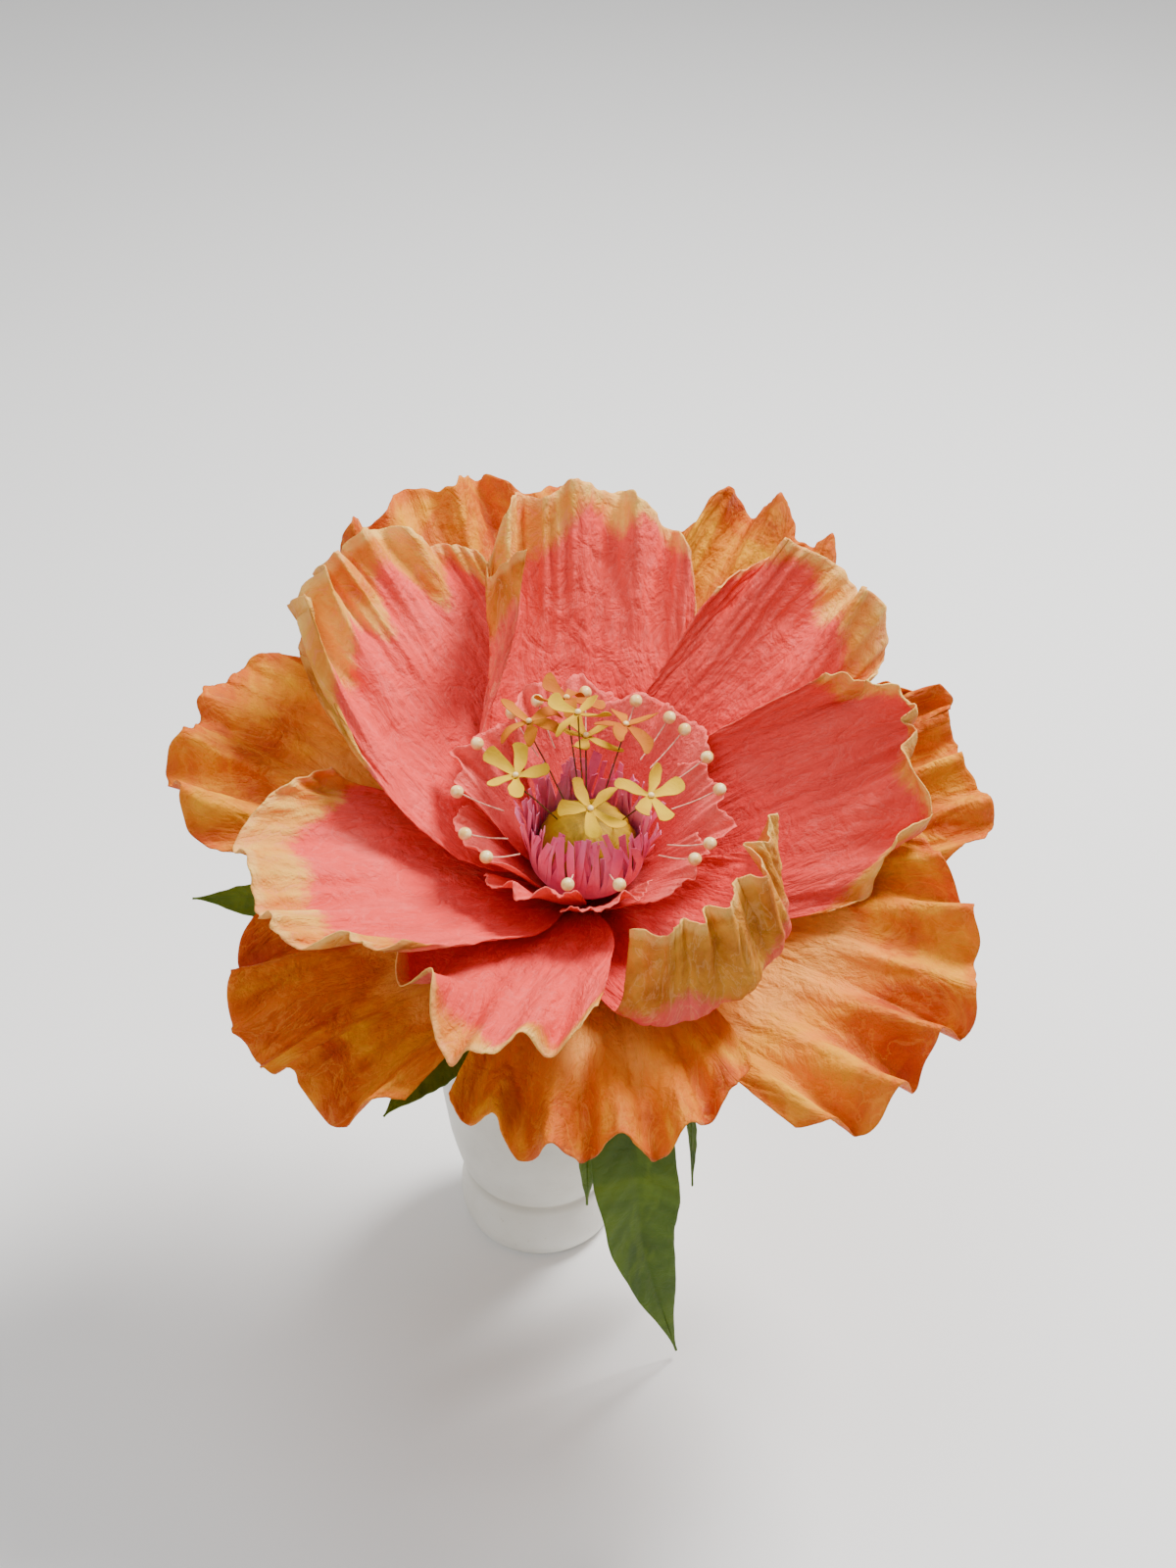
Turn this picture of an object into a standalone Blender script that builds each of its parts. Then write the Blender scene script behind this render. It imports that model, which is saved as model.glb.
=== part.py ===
# A large paper peony on a short stem, with hanging leaves, standing in a small turned vase.
# Metres, +Z up. The origin is the middle of the vase's flat foot, and -Y is the front.
# The flower is built in its own frame, whose +Z is the flower's axis, and leaned forward.
import math

import bmesh
import bpy
from mathutils import Matrix
from mathutils import Vector

# The vase, as (radius, height) points of its outer and inner profiles.
VASE_OUTER = ((0.027, 0.0), (0.031, 0.0025), (0.0335, 0.010), (0.0335, 0.020), (0.0315, 0.028),
              (0.0305, 0.030), (0.0325, 0.034), (0.036, 0.048), (0.0385, 0.065), (0.040, 0.085),
              (0.038, 0.105), (0.030, 0.125), (0.022, 0.140), (0.019, 0.150), (0.020, 0.158),
              (0.024, 0.166))
VASE_INNER = ((0.0225, 0.167), (0.0170, 0.158), (0.0155, 0.150), (0.0185, 0.140), (0.0265, 0.125),
              (0.0345, 0.105), (0.0365, 0.085), (0.0350, 0.065), (0.0325, 0.050), (0.0270, 0.040),
              (0.0160, 0.036))
VASE_FLOOR = 0.036
VASE_SIDES = 28

# The flower's frame: where its middle is, and how far it leans forward and sideways.
HEAD_CENTRE = Vector((0.019, -0.026, 0.200))
HEAD_TILT = math.radians(13.0)
HEAD_LEAN = math.radians(2.0)

# Paper petals. Each starts at PETAL_ROOT from the flower's axis. Its rise is the slope in
# degrees at four even steps from root to rim. Its widths are the half angles it covers at
# the same steps, counter-clockwise (ccw) and clockwise (cw) of its middle.
PAPER = 0.0007
PETAL_ROOT = 0.009
PETAL_ROWS = 7
PETAL_COLUMNS = 8
PATH_STEPS = 8

INNER_RING = {"height": 0.002, "step": 0.0016, "twist": 4.0, "cup": 6.0, "round": 0.20}
INNER_PETALS = (
    {"azimuth": 138, "length": 0.148, "rise": (34, 37, 36, 30),
     "ccw": (44, 56, 38, 18), "cw": (40, 40, 34, 28), "ccw_lift": -8},
    {"azimuth": 92, "length": 0.144, "rise": (34, 42, 46, 44),
     "ccw": (50, 60, 32, 22), "cw": (40, 40, 31, 25), "ccw_lift": -11, "cw_lift": -7},
    {"azimuth": 40, "length": 0.146, "rise": (34, 38, 36, 30),
     "ccw": (40, 38, 27, 20), "cw": (40, 36, 27, 15), "ccw_lift": -1, "cw_lift": -10, "cw_cut": 0.06},
    {"azimuth": 10, "length": 0.138, "rise": (34, 30, 26, 34),
     "ccw": (40, 42, 27, 15), "cw": (40, 44, 34, 27), "ccw_lift": 8, "cw_lift": -12, "cw_cut": 0.16},
    {"azimuth": -48, "length": 0.128, "rise": (32, 22, 20, 28),
     "ccw": (40, 44, 40, 34), "cw": (40, 46, 34, 28), "ccw_lift": 8, "ccw_cut": 0.10,
     "curl": (0.60, 92.0, 0.16)},
    {"azimuth": -116, "length": 0.104, "rise": (36, 27, 18, 5),
     "ccw": (40, 42, 34, 28), "cw": (38, 40, 42, 42), "cw_lift": -6, "cw_cut": 0.20},
    {"azimuth": 204, "length": 0.126, "rise": (33, 25, 20, 26),
     "ccw": (40, 44, 32, 24), "cw": (40, 44, 42, 36), "ccw_lift": 6},
)
CURL_EASING = 0.55  # how much less the ccw edge of a curled petal turns over

OUTER_RING = {"height": -0.004, "step": 0.0016, "twist": 3.0, "cup": 3.0, "round": 0.15}
OUTER_PETALS = (
    {"azimuth": 163, "length": 0.153, "rise": (17, 18, 18, 12),
     "ccw": (30, 27, 26, 25), "cw": (30, 32, 28, 25)},
    {"azimuth": 112, "length": 0.164, "rise": (20, 27, 32, 26),
     "ccw": (30, 30, 28, 25), "cw": (30, 30, 28, 25)},
    {"azimuth": 60, "length": 0.162, "rise": (20, 27, 32, 26),
     "ccw": (30, 30, 22, 15), "cw": (30, 30, 22, 15), "cw_lift": -10},
    {"azimuth": 18, "length": 0.146, "rise": (17, 18, 20, 14),
     "ccw": (30, 28, 20, 12), "cw": (30, 28, 24, 20), "ccw_lift": 9, "cw_lift": -8},
    {"azimuth": -28, "length": 0.142, "rise": (18, 13, 8, 2),
     "ccw": (30, 28, 28, 26), "cw": (30, 32, 32, 28), "ccw_lift": 9},
    {"azimuth": -86, "length": 0.114, "rise": (20, 16, 8, -10),
     "ccw": (30, 34, 32, 30), "cw": (30, 34, 32, 30)},
    {"azimuth": -147, "length": 0.132, "rise": (18, 9, 0, -12),
     "ccw": (30, 30, 28, 26), "cw": (30, 30, 28, 26)},
)

# The small petals are longer at the back, and stand steeper at the front.
SMALL_RING = {"height": 0.0063, "step": 0.0012, "twist": 3.5, "cup": 2.0, "round": 0.10,
              "front_lift": 10.0}
SMALL_PETALS = 8
SMALL_PETAL = {"length": 0.055, "rise": (36, 47, 49, 41), "ccw": (34, 34, 29, 26), "cw": (34, 34, 29, 26)}
SMALL_PETAL_TURN = 12.0
SMALL_BACK_LONGER = 0.26
SMALL_FRONT_SHORTER = 0.04
FRONT_POWER = 1.5
SMALL_ROWS = 4
SMALL_COLUMNS = 4

# What the petals are bound to, and the seed pod on top of it.
CORE_RADIUS = 0.0083
CORE_BOTTOM = -0.0066
CORE_TOP = 0.0069
CALYX_DEPTH = 0.0160
CALYX_SHAPE = ((0.0130, 0.0), (0.0142, 0.0010), (0.0110, 0.0050), (0.0062, 0.0110), (0.0048, CALYX_DEPTH))
CORE_ROUNDING = 0.0006
BOUND_SIDES = 16
POD_RADIUS = 0.0185
POD_HEIGHT = 0.0258
POD_RINGS = 12
POD_SIDES = 20

# Two rings of cut paper strips around the pod: root radius and height, tip radius and height.
FRINGE_INNER = {"root": (0.0190, 0.0228), "tip": (0.0215, 0.0480), "strips": 22, "swing": 0.0016}
FRINGE_OUTER = {"root": (0.0206, 0.0256), "tip": (0.0262, 0.0500), "strips": 26, "swing": 0.0022}
FRINGE_THICK = 0.0008
FRINGE_BAND = 0.0016
FRINGE_SHORTEST = 0.80

# Stamens: azimuths of the beads, which lie on a ring that is raised and drawn in at the front.
STAMEN_AZIMUTHS = (149, 175, 198, 215, 259, 285, 327, 339, 9, 26, 43, 52, 69, 92, 114, 127)
BEAD_RADIUS = 0.0023
BEAD_RING = 0.0465
BEAD_HEIGHT = 0.0516
BEAD_HEIGHT_SWING = 0.0065
BEAD_FRONT_IN = 0.0080
BEAD_FRONT_UP = 0.0110
BEAD_SHAPE = ((-0.95, 0.40), (-0.70, 0.71), (-0.25, 0.97), (0.25, 0.97), (0.70, 0.71), (0.96, 0.28))
FILAMENT_RADIUS = 0.0004
FILAMENT_ROOT = 0.0300
FILAMENT_ROOT_IN = 0.0020
FILAMENT_CLIMB = 0.0085
FILAMENT_BOW = 0.0006

# Small blossoms on wires above the pod: centre, facing tilt (outward, degrees) and turn.
FLORETS = (
    {"centre": (-0.0257, 0.0050, 0.0600), "tilt": 14, "turn": 20, "petals": 5},
    {"centre": (-0.0216, 0.0280, 0.0620), "tilt": 18, "turn": 50, "petals": 5},
    {"centre": (-0.0085, 0.0333, 0.0690), "tilt": 22, "turn": 10, "petals": 5},
    {"centre": (-0.0048, 0.0180, 0.0790), "tilt": 20, "turn": 35, "petals": 4},
    {"centre": (-0.0013, 0.0250, 0.0585), "tilt": 18, "turn": 0, "petals": 5},
    {"centre": (0.0122, 0.0233, 0.0670), "tilt": 24, "turn": 25, "petals": 5},
    {"centre": (0.0206, -0.0042, 0.0620), "tilt": 26, "turn": 15, "petals": 5},
    {"centre": (0.0002, -0.0070, 0.0575), "tilt": 6, "turn": 40, "petals": 5},
)
FLORET_REACH = 0.0120
FLORET_HUB = 0.0022
FLORET_THICK = 0.0006
FLORET_DROOP = 0.0022
PIN_RADIUS = 0.0012
WIRE_RADIUS = 0.0004
WIRE_DROP = -0.0030
BLADE_WIDTHS = (2.1, 1.1, 0.45)
BLADE_DROOPS = (0.1, 0.3, 0.6)
PIN_SHAPE = ((0.0004, 1.0), (0.0012, 1.0), (0.0020, 0.4))

# The stem and the leaves, whose paths are lists of points in the object's own frame.
STEM_RADIUS = 0.0032
STEM_ROWS = 14
STEM_STRAIGHT = 0.0050
STEM_PATH = ((0.0080, -0.0060, 0.0368), (0.0076, -0.0050, 0.088), (0.0082, -0.0052, 0.138),
             (0.0090, -0.0064, 0.155), (0.0126, -0.0112, 0.168))
LEAF_THICK = 0.0007
LEAF_ROWS = 9
LEAF_COLUMNS = 4
LEAF_FOLD = 0.18
LEAF_POINT = 0.9
LEAF_NARROWEST = 0.0004
LEAVES = (
    {"path": ((0.0195, -0.0245, 0.172), (0.030, -0.060, 0.152), (0.038, -0.080, 0.108),
              (0.042, -0.083, 0.066), (0.056, -0.082, 0.004)), "half_width": 0.0165, "across": (1, 0.25, 0)},
    {"path": ((0.0160, -0.0240, 0.170), (0.018, -0.048, 0.138), (0.020, -0.056, 0.092),
              (0.020, -0.050, 0.055)),
     "half_width": 0.0040, "across": (1, 0, 0)},
    {"path": ((0.0215, -0.0170, 0.171), (0.044, -0.022, 0.150), (0.060, -0.028, 0.104),
              (0.063, -0.032, 0.046)),
     "half_width": 0.0070, "across": (0.5, -1, 0)},
    {"path": ((0.0092, -0.0135, 0.174), (-0.045, -0.004, 0.176), (-0.092, 0.002, 0.172),
              (-0.132, 0.000, 0.174)),
     "half_width": 0.0130, "across": (0.1, 1, 0.2)},
    {"path": ((0.0120, -0.0215, 0.171), (-0.016, -0.046, 0.162), (-0.036, -0.066, 0.153),
              (-0.054, -0.084, 0.142)),
     "half_width": 0.0120, "across": (-1, 0.9, 0)},
)

GAP = 0.0003


def clear_scene():
    for thing in list(bpy.data.objects):
        bpy.data.objects.remove(thing, do_unlink=True)


def make_material(name, colour, roughness, metallic=0.0):
    material = bpy.data.materials.new(name)
    material.use_nodes = True
    shader = material.node_tree.nodes["Principled BSDF"]
    shader.inputs["Base Color"].default_value = (*colour, 1.0)
    shader.inputs["Roughness"].default_value = roughness
    shader.inputs["Metallic"].default_value = metallic
    return material


def add_object(name, mesh, material, parent=None, smooth=True):
    mesh.materials.append(material)
    if smooth:
        mesh.shade_smooth()
        mesh.set_sharp_from_angle(angle=math.radians(50))
    thing = bpy.data.objects.new(name, mesh)
    bpy.context.scene.collection.objects.link(thing)
    thing.parent = parent
    return thing


def mesh_from(name, points, faces):
    mesh = bpy.data.meshes.new(name)
    mesh.from_pydata(points, [], faces)
    return tidy_mesh(mesh)


def tidy_mesh(mesh):
    work = bmesh.new()
    work.from_mesh(mesh)
    bmesh.ops.recalc_face_normals(work, faces=work.faces)
    work.to_mesh(mesh)
    work.free()
    return mesh


def smooth_value(values, place):
    """A smooth curve through evenly spaced values, read at a place from 0 to 1."""
    last = len(values) - 1
    at = min(max(place, 0.0), 1.0) * last
    k = min(int(at), last - 1)
    t = at - k
    b = values[k]
    c = values[k + 1]
    a = values[k - 1] if k > 0 else 2 * b - c
    d = values[k + 2] if k < last - 1 else 2 * c - b
    square = (2 * a - 5 * b + 4 * c - d) * t ** 2
    cube = (3 * b - a - 3 * c + d) * t ** 3
    return 0.5 * (2 * b + (c - a) * t + square + cube)


def ease(place):
    t = min(max(place, 0.0), 1.0)
    return t * t * (3 - 2 * t)


def front_share(turn):
    """How far an azimuth in radians is to the front, from 0 to 1."""
    return max(0.0, -math.sin(turn)) ** FRONT_POWER


def petal_ray(petal, ring, side, rows):
    """Points of one petal from root to rim, at a side from -1 (clockwise) to 1."""
    widths = petal["ccw"] if side > 0 else petal["cw"]
    lift = petal.get("ccw_lift", 0) * max(side, 0) + petal.get("cw_lift", 0) * max(-side, 0)
    cut = ring["round"] * abs(side) ** 3 + petal.get("cw_cut", 0) * max(-side, 0)
    cut += petal.get("ccw_cut", 0) * max(side, 0)
    curl_at, curl_by, curl_over = petal.get("curl", (1.0, 0.0, 1.0))
    curl_by *= 1 - CURL_EASING * max(side, 0) ** 2
    steps = rows * PATH_STEPS
    stride = petal["length"] * (1 - cut) / steps
    radius = PETAL_ROOT
    height = ring["height"] + ring["step"] * side
    points = []
    for k in range(steps + 1):
        place = k / steps
        turn = math.radians(petal["azimuth"] + side * smooth_value(widths, place))
        if k % PATH_STEPS == 0:
            points.append(Vector((radius * math.cos(turn), radius * math.sin(turn), height)))
        slope = smooth_value(petal["rise"], place) + ring["twist"] * side + ring["cup"] * side ** 2 * place
        slope += lift * ease(2.5 * place) + curl_by * ease((place - curl_at) / curl_over)
        slope += ring.get("front_lift", 0) * front_share(turn) * ease(2 * place)
        radius += stride * math.cos(math.radians(slope))
        height += stride * math.sin(math.radians(slope))
    return points


def sheet_mesh(name, rays):
    """A grid of quads from a list of rays that all have the same number of points."""
    rows = len(rays[0])
    points = [point for ray in rays for point in ray]
    faces = []
    for column in range(len(rays) - 1):
        for row in range(rows - 1):
            a = column * rows + row
            faces.append((a, a + 1, a + rows + 1, a + rows))
    return mesh_from(name, points, faces)


def add_sheet(name, rays, thickness, material, parent):
    thing = add_object(name, sheet_mesh(name, rays), material, parent)
    solid = thing.modifiers.new("Paper", "SOLIDIFY")
    solid.thickness = thickness
    solid.offset = 0.0
    return thing


def add_petal(name, petal, ring, rows, columns, material, parent):
    rays = [petal_ray(petal, ring, -1 + 2 * c / columns, rows) for c in range(columns + 1)]
    return add_sheet(name, rays, PAPER, material, parent)


def lathe_mesh(name, profile, sides):
    """Turns (radius, height) points about Z. The ends on the axis close as a fan."""
    work = bmesh.new()
    verts = [work.verts.new((radius, 0.0, height)) for radius, height in profile]
    edges = [work.edges.new((a, b)) for a, b in zip(verts, verts[1:])]
    bmesh.ops.spin(work, geom=verts + edges, cent=(0, 0, 0), axis=(0, 0, 1),
                   angle=2 * math.pi, steps=sides, use_merge=True)
    bmesh.ops.remove_doubles(work, verts=work.verts, dist=1e-5)
    bmesh.ops.recalc_face_normals(work, faces=work.faces)
    mesh = bpy.data.meshes.new(name)
    work.to_mesh(mesh)
    work.free()
    return mesh


def add_vase(material):
    profile = ((0.0, 0.0),) + VASE_OUTER + VASE_INNER + ((0.0, VASE_FLOOR),)
    return add_object("vase", lathe_mesh("vase", profile, VASE_SIDES), material)


def add_core(material, head):
    profile = ((0.0, CORE_BOTTOM), (CORE_RADIUS, CORE_BOTTOM), (CORE_RADIUS, CORE_TOP - CORE_ROUNDING),
               (CORE_RADIUS - CORE_ROUNDING, CORE_TOP), (0.0, CORE_TOP))
    return add_object("core", lathe_mesh("core", profile, BOUND_SIDES), material, head)


def add_calyx(material, head):
    """A shallow cone of green paper under the petals, around the stem's top."""
    top = CORE_BOTTOM - GAP
    profile = [(0.0, top)] + [(radius, top - drop) for radius, drop in CALYX_SHAPE]
    profile.append((0.0, top - CALYX_DEPTH))
    return add_object("calyx", lathe_mesh("calyx", profile, BOUND_SIDES), material, head)


def add_pod(material, head):
    turns = [math.pi * (k / POD_RINGS - 0.5) for k in range(1, POD_RINGS)]
    profile = [(POD_RADIUS * math.cos(turn), POD_RADIUS * math.sin(turn)) for turn in turns]
    profile = [(0.0, -POD_RADIUS)] + profile + [(0.0, POD_RADIUS)]
    pod = add_object("pod", lathe_mesh("pod", profile, POD_SIDES), material, head)
    pod.location.z = POD_HEIGHT
    return pod


def tube_mesh(name, path, radii, sides):
    """A closed tube through path points, with a radius at each."""
    points = []
    faces = []
    axis_hint = Vector((0.31, 0.95, 0.05))
    for k, point in enumerate(path):
        ahead = (path[min(k + 1, len(path) - 1)] - path[max(k - 1, 0)]).normalized()
        across = ahead.cross(axis_hint).normalized()
        upward = ahead.cross(across)
        for s in range(sides):
            turn = 2 * math.pi * s / sides
            points.append(point + radii[k] * (math.cos(turn) * across + math.sin(turn) * upward))
    for k in range(len(path) - 1):
        for s in range(sides):
            a = k * sides + s
            b = k * sides + (s + 1) % sides
            faces.append((a, b, b + sides, a + sides))
    faces.append(tuple(range(sides)))
    faces.append(tuple((len(path) - 1) * sides + s for s in range(sides)))
    return mesh_from(name, points, faces)


def polar(radius, azimuth, height):
    turn = math.radians(azimuth)
    return Vector((radius * math.cos(turn), radius * math.sin(turn), height))


def add_stamen(name, azimuth, material, head):
    """A stiff filament with a bead on its end, as one solid, from just above the fringe's root."""
    turn = math.radians(azimuth)
    front = front_share(turn)
    lift = BEAD_HEIGHT + BEAD_HEIGHT_SWING * math.sin(turn) + BEAD_FRONT_UP * front
    root = polar(FILAMENT_ROOT - FILAMENT_ROOT_IN * front, azimuth, lift - FILAMENT_CLIMB)
    bead = polar(BEAD_RING - BEAD_FRONT_IN * front, azimuth, lift)
    ahead = (bead - root).normalized()
    path = [root, root.lerp(bead, 0.5) + Vector((0, 0, FILAMENT_BOW))]
    radii = [FILAMENT_RADIUS, FILAMENT_RADIUS]
    for along, wide in BEAD_SHAPE:
        path.append(bead + ahead * BEAD_RADIUS * along)
        radii.append(BEAD_RADIUS * wide)
    return add_object(name, tube_mesh(name, path, radii, 6), material, head)


def add_fringe(name, fringe, material, head):
    """One ring with a strip standing on every other stretch of it."""
    root_radius, root_height = fringe["root"]
    tip_radius, tip_height = fringe["tip"]
    stretches = fringe["strips"] * 2
    half = FRINGE_THICK / 2
    work = bmesh.new()
    corners = []
    for k in range(stretches):
        azimuth = 360 * k / stretches
        corners.append([work.verts.new(polar(root_radius + half * side, azimuth, root_height - low))
                        for side, low in ((-1, FRINGE_BAND), (1, FRINGE_BAND), (1, 0), (-1, 0))])
    tops = []
    for k in range(stretches):
        a = corners[k]
        b = corners[(k + 1) % stretches]
        for i in range(4):
            face = work.faces.new((a[i], a[(i + 1) % 4], b[(i + 1) % 4], b[i]))
            if i == 2 and k % 2 == 0:
                tops.append((k, face))
    bmesh.ops.recalc_face_normals(work, faces=work.faces)
    for k, top in tops:
        azimuth = 360 * (k + 0.5) / stretches
        reach = FRINGE_SHORTEST + (1 - FRINGE_SHORTEST) * math.sin(k * 2.4)
        rise = Vector((0, 0, (tip_height - root_height) / 2 * reach))
        outward = polar((tip_radius - root_radius) / 2, azimuth, 0.0)
        sideways = polar(fringe["swing"] / 2, azimuth + 90, 0.0)
        for step in (0.5, 1.0):
            top = bmesh.ops.extrude_discrete_faces(work, faces=[top])["faces"][0]
            move = outward + rise + sideways * math.sin(k * 1.7 + step * 2)
            bmesh.ops.translate(work, verts=top.verts, vec=move)
    mesh = bpy.data.meshes.new(name)
    work.to_mesh(mesh)
    work.free()
    return add_object(name, tidy_mesh(mesh), material, head, smooth=False)


def draw_out(work, face, radius, stations):
    """Insets a hub face to a radius and pulls it out through (height, scale) stations."""
    bmesh.ops.inset_region(work, faces=[face], thickness=FLORET_HUB - radius, use_even_offset=False)
    last = 0.0
    scale = 1.0
    for height, size in stations:
        face = bmesh.ops.extrude_discrete_faces(work, faces=[face])["faces"][0]
        centre = face.calc_center_median()
        for vert in face.verts:
            vert.co = centre + (vert.co - centre) * (size / scale)
        bmesh.ops.translate(work, verts=face.verts, vec=(0, 0, height - last))
        last = height
        scale = size
    return face


def draw_blade(work, rim, azimuth):
    """Pulls one paper petal out of a side face of the hub."""
    outward = polar((FLORET_REACH - FLORET_HUB) / len(BLADE_WIDTHS), azimuth, 0.0)
    sideways = polar(1.0, azimuth + 90, 0.0)
    for wide, droop in zip(BLADE_WIDTHS, BLADE_DROOPS):
        rim = bmesh.ops.extrude_discrete_faces(work, faces=[rim])["faces"][0]
        bmesh.ops.translate(work, verts=rim.verts, vec=outward - Vector((0, 0, FLORET_DROOP * droop)))
        centre = rim.calc_center_median()
        for vert in rim.verts:
            vert.co += sideways * (vert.co - centre).dot(sideways) * (wide - 1)


def add_floret(name, floret, material, head):
    """A cut paper blossom with a pin through its hub and a wire below it, as one solid."""
    sides = floret["petals"] * 2
    half = FLORET_THICK / 2
    work = bmesh.new()
    top = [work.verts.new(polar(FLORET_HUB, 360 * k / sides, half)) for k in range(sides)]
    bottom = [work.verts.new(polar(FLORET_HUB, 360 * k / sides, -half)) for k in range(sides)]
    face_up = work.faces.new(top)
    face_down = work.faces.new(list(reversed(bottom)))
    rims = []
    for k in range(sides):
        j = (k + 1) % sides
        rims.append(work.faces.new((top[k], bottom[k], bottom[j], top[j])))
    for k in range(0, sides, 2):
        draw_blade(work, rims[k], 360 * (k + 0.5) / sides)
    draw_out(work, face_up, PIN_RADIUS, PIN_SHAPE)
    wire_face = draw_out(work, face_down, WIRE_RADIUS, ((WIRE_DROP, 1.0),))

    centre = Vector(floret["centre"])
    outward = Vector((centre.x, centre.y, 0.0)).normalized()
    facing = Vector((0, 0, 1)).lerp(outward, floret["tilt"] / 90.0).normalized()
    pose = Matrix.Translation(centre) @ facing.to_track_quat("Z", "Y").to_matrix().to_4x4()
    pose = pose @ Matrix.Rotation(math.radians(floret["turn"]), 4, "Z")
    bmesh.ops.transform(work, matrix=pose, verts=work.verts)

    pod_centre = Vector((0, 0, POD_HEIGHT))
    wire_end = pod_centre + (centre - pod_centre).normalized() * (POD_RADIUS + 2 * GAP)
    start = wire_face.calc_center_median()
    for share in (0.5, 1.0):
        wire_face = bmesh.ops.extrude_discrete_faces(work, faces=[wire_face])["faces"][0]
        move = start.lerp(wire_end, share) - wire_face.calc_center_median()
        bmesh.ops.translate(work, verts=wire_face.verts, vec=move)
    mesh = bpy.data.meshes.new(name)
    work.to_mesh(mesh)
    work.free()
    return add_object(name, tidy_mesh(mesh), material, head)


def leaf_outline(place):
    """Share of a leaf's half width at a place from its stalk to its point."""
    if place > LEAF_POINT:
        return 1.9 * (1.0 - place)
    return 0.12 + 0.88 * math.sin(math.pi * min(place * 1.02, 1.0) ** 0.85) ** 0.8


def add_leaf(name, leaf, material):
    """A pointed leaf along its path, folded a little along its midrib."""
    path = [Vector(point) for point in leaf["path"]]
    across_hint = Vector(leaf["across"]).normalized()
    middle = [Vector([smooth_value([p[i] for p in path], row / LEAF_ROWS) for i in range(3)])
              for row in range(LEAF_ROWS + 1)]
    rays = []
    for column in range(LEAF_COLUMNS + 1):
        side = -1 + 2 * column / LEAF_COLUMNS
        ray = []
        for row, centre in enumerate(middle):
            place = row / LEAF_ROWS
            ahead = (middle[min(row + 1, LEAF_ROWS)] - middle[max(row - 1, 0)]).normalized()
            across = (across_hint - ahead * across_hint.dot(ahead)).normalized()
            face_out = across.cross(ahead)
            width = leaf["half_width"] * leaf_outline(place)
            width = max(width, LEAF_NARROWEST)
            fold = LEAF_FOLD * width * abs(side)
            ray.append(centre + across * width * side - face_out * fold)
        rays.append(ray)
    return add_sheet(name, rays, LEAF_THICK, material, None)


def add_stem(material, head):
    neck = head.matrix_world @ Vector((0, 0, CORE_BOTTOM - CALYX_DEPTH - 2 * GAP))
    knots = [Vector(point) for point in STEM_PATH] + [neck]
    path = [Vector([smooth_value([knot[i] for knot in knots], k / STEM_ROWS) for i in range(3)])
            for k in range(STEM_ROWS + 1)]
    path[-2] = head.matrix_world @ Vector((0, 0, CORE_BOTTOM - CALYX_DEPTH - STEM_STRAIGHT))
    return add_object("stem", tube_mesh("stem", path, [STEM_RADIUS] * len(path), 10), material)


def main():
    clear_scene()
    head = bpy.data.objects.new("head_frame", None)
    bpy.context.scene.collection.objects.link(head)
    turn = Matrix.Rotation(HEAD_TILT, 4, "X") @ Matrix.Rotation(HEAD_LEAN, 4, "Y")
    head.matrix_world = Matrix.Translation(HEAD_CENTRE) @ turn

    coral = make_material("coral paper", (0.94, 0.26, 0.22), 0.75)
    orange = make_material("orange paper", (0.86, 0.28, 0.03), 0.72)
    salmon = make_material("salmon paper", (0.92, 0.32, 0.30), 0.78)
    magenta = make_material("magenta paper", (0.72, 0.10, 0.24), 0.75)
    mustard = make_material("mustard paper", (0.55, 0.34, 0.01), 0.70)
    yellow = make_material("yellow paper", (0.98, 0.72, 0.01), 0.70)
    cream = make_material("cream bead", (0.86, 0.68, 0.38), 0.35)
    green = make_material("green paper", (0.12, 0.20, 0.02), 0.65)
    white = make_material("white ceramic", (0.84, 0.82, 0.76), 0.45)

    add_vase(white)
    add_core(green, head)
    add_calyx(green, head)
    add_stem(green, head)
    add_pod(mustard, head)
    add_fringe("fringe_inner", FRINGE_INNER, magenta, head)
    add_fringe("fringe_outer", FRINGE_OUTER, magenta, head)
    for number, petal in enumerate(OUTER_PETALS, 1):
        add_petal(f"outer_petal_{number}", petal, OUTER_RING, PETAL_ROWS, PETAL_COLUMNS, orange, head)
    for number, petal in enumerate(INNER_PETALS, 1):
        add_petal(f"inner_petal_{number}", petal, INNER_RING, PETAL_ROWS, PETAL_COLUMNS, coral, head)
    for number in range(1, SMALL_PETALS + 1):
        azimuth = SMALL_PETAL_TURN + 360 * number / SMALL_PETALS
        toward_back = math.sin(math.radians(azimuth))
        longer = SMALL_BACK_LONGER * max(toward_back, 0) - SMALL_FRONT_SHORTER * max(-toward_back, 0)
        petal = dict(SMALL_PETAL, azimuth=azimuth, length=SMALL_PETAL["length"] * (1 + longer))
        add_petal(f"small_petal_{number}", petal, SMALL_RING, SMALL_ROWS, SMALL_COLUMNS, salmon, head)
    for number, azimuth in enumerate(STAMEN_AZIMUTHS, 1):
        add_stamen(f"stamen_{number:02d}", azimuth, cream, head)
    for number, floret in enumerate(FLORETS, 1):
        add_floret(f"floret_{number}", floret, yellow, head)
    for number, leaf in enumerate(LEAVES, 1):
        add_leaf(f"leaf_{number}", leaf, green)
    bpy.context.view_layer.update()


main()
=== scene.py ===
import math
import random

import bpy
import numpy as np
from mathutils import Matrix, Vector, noise


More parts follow.
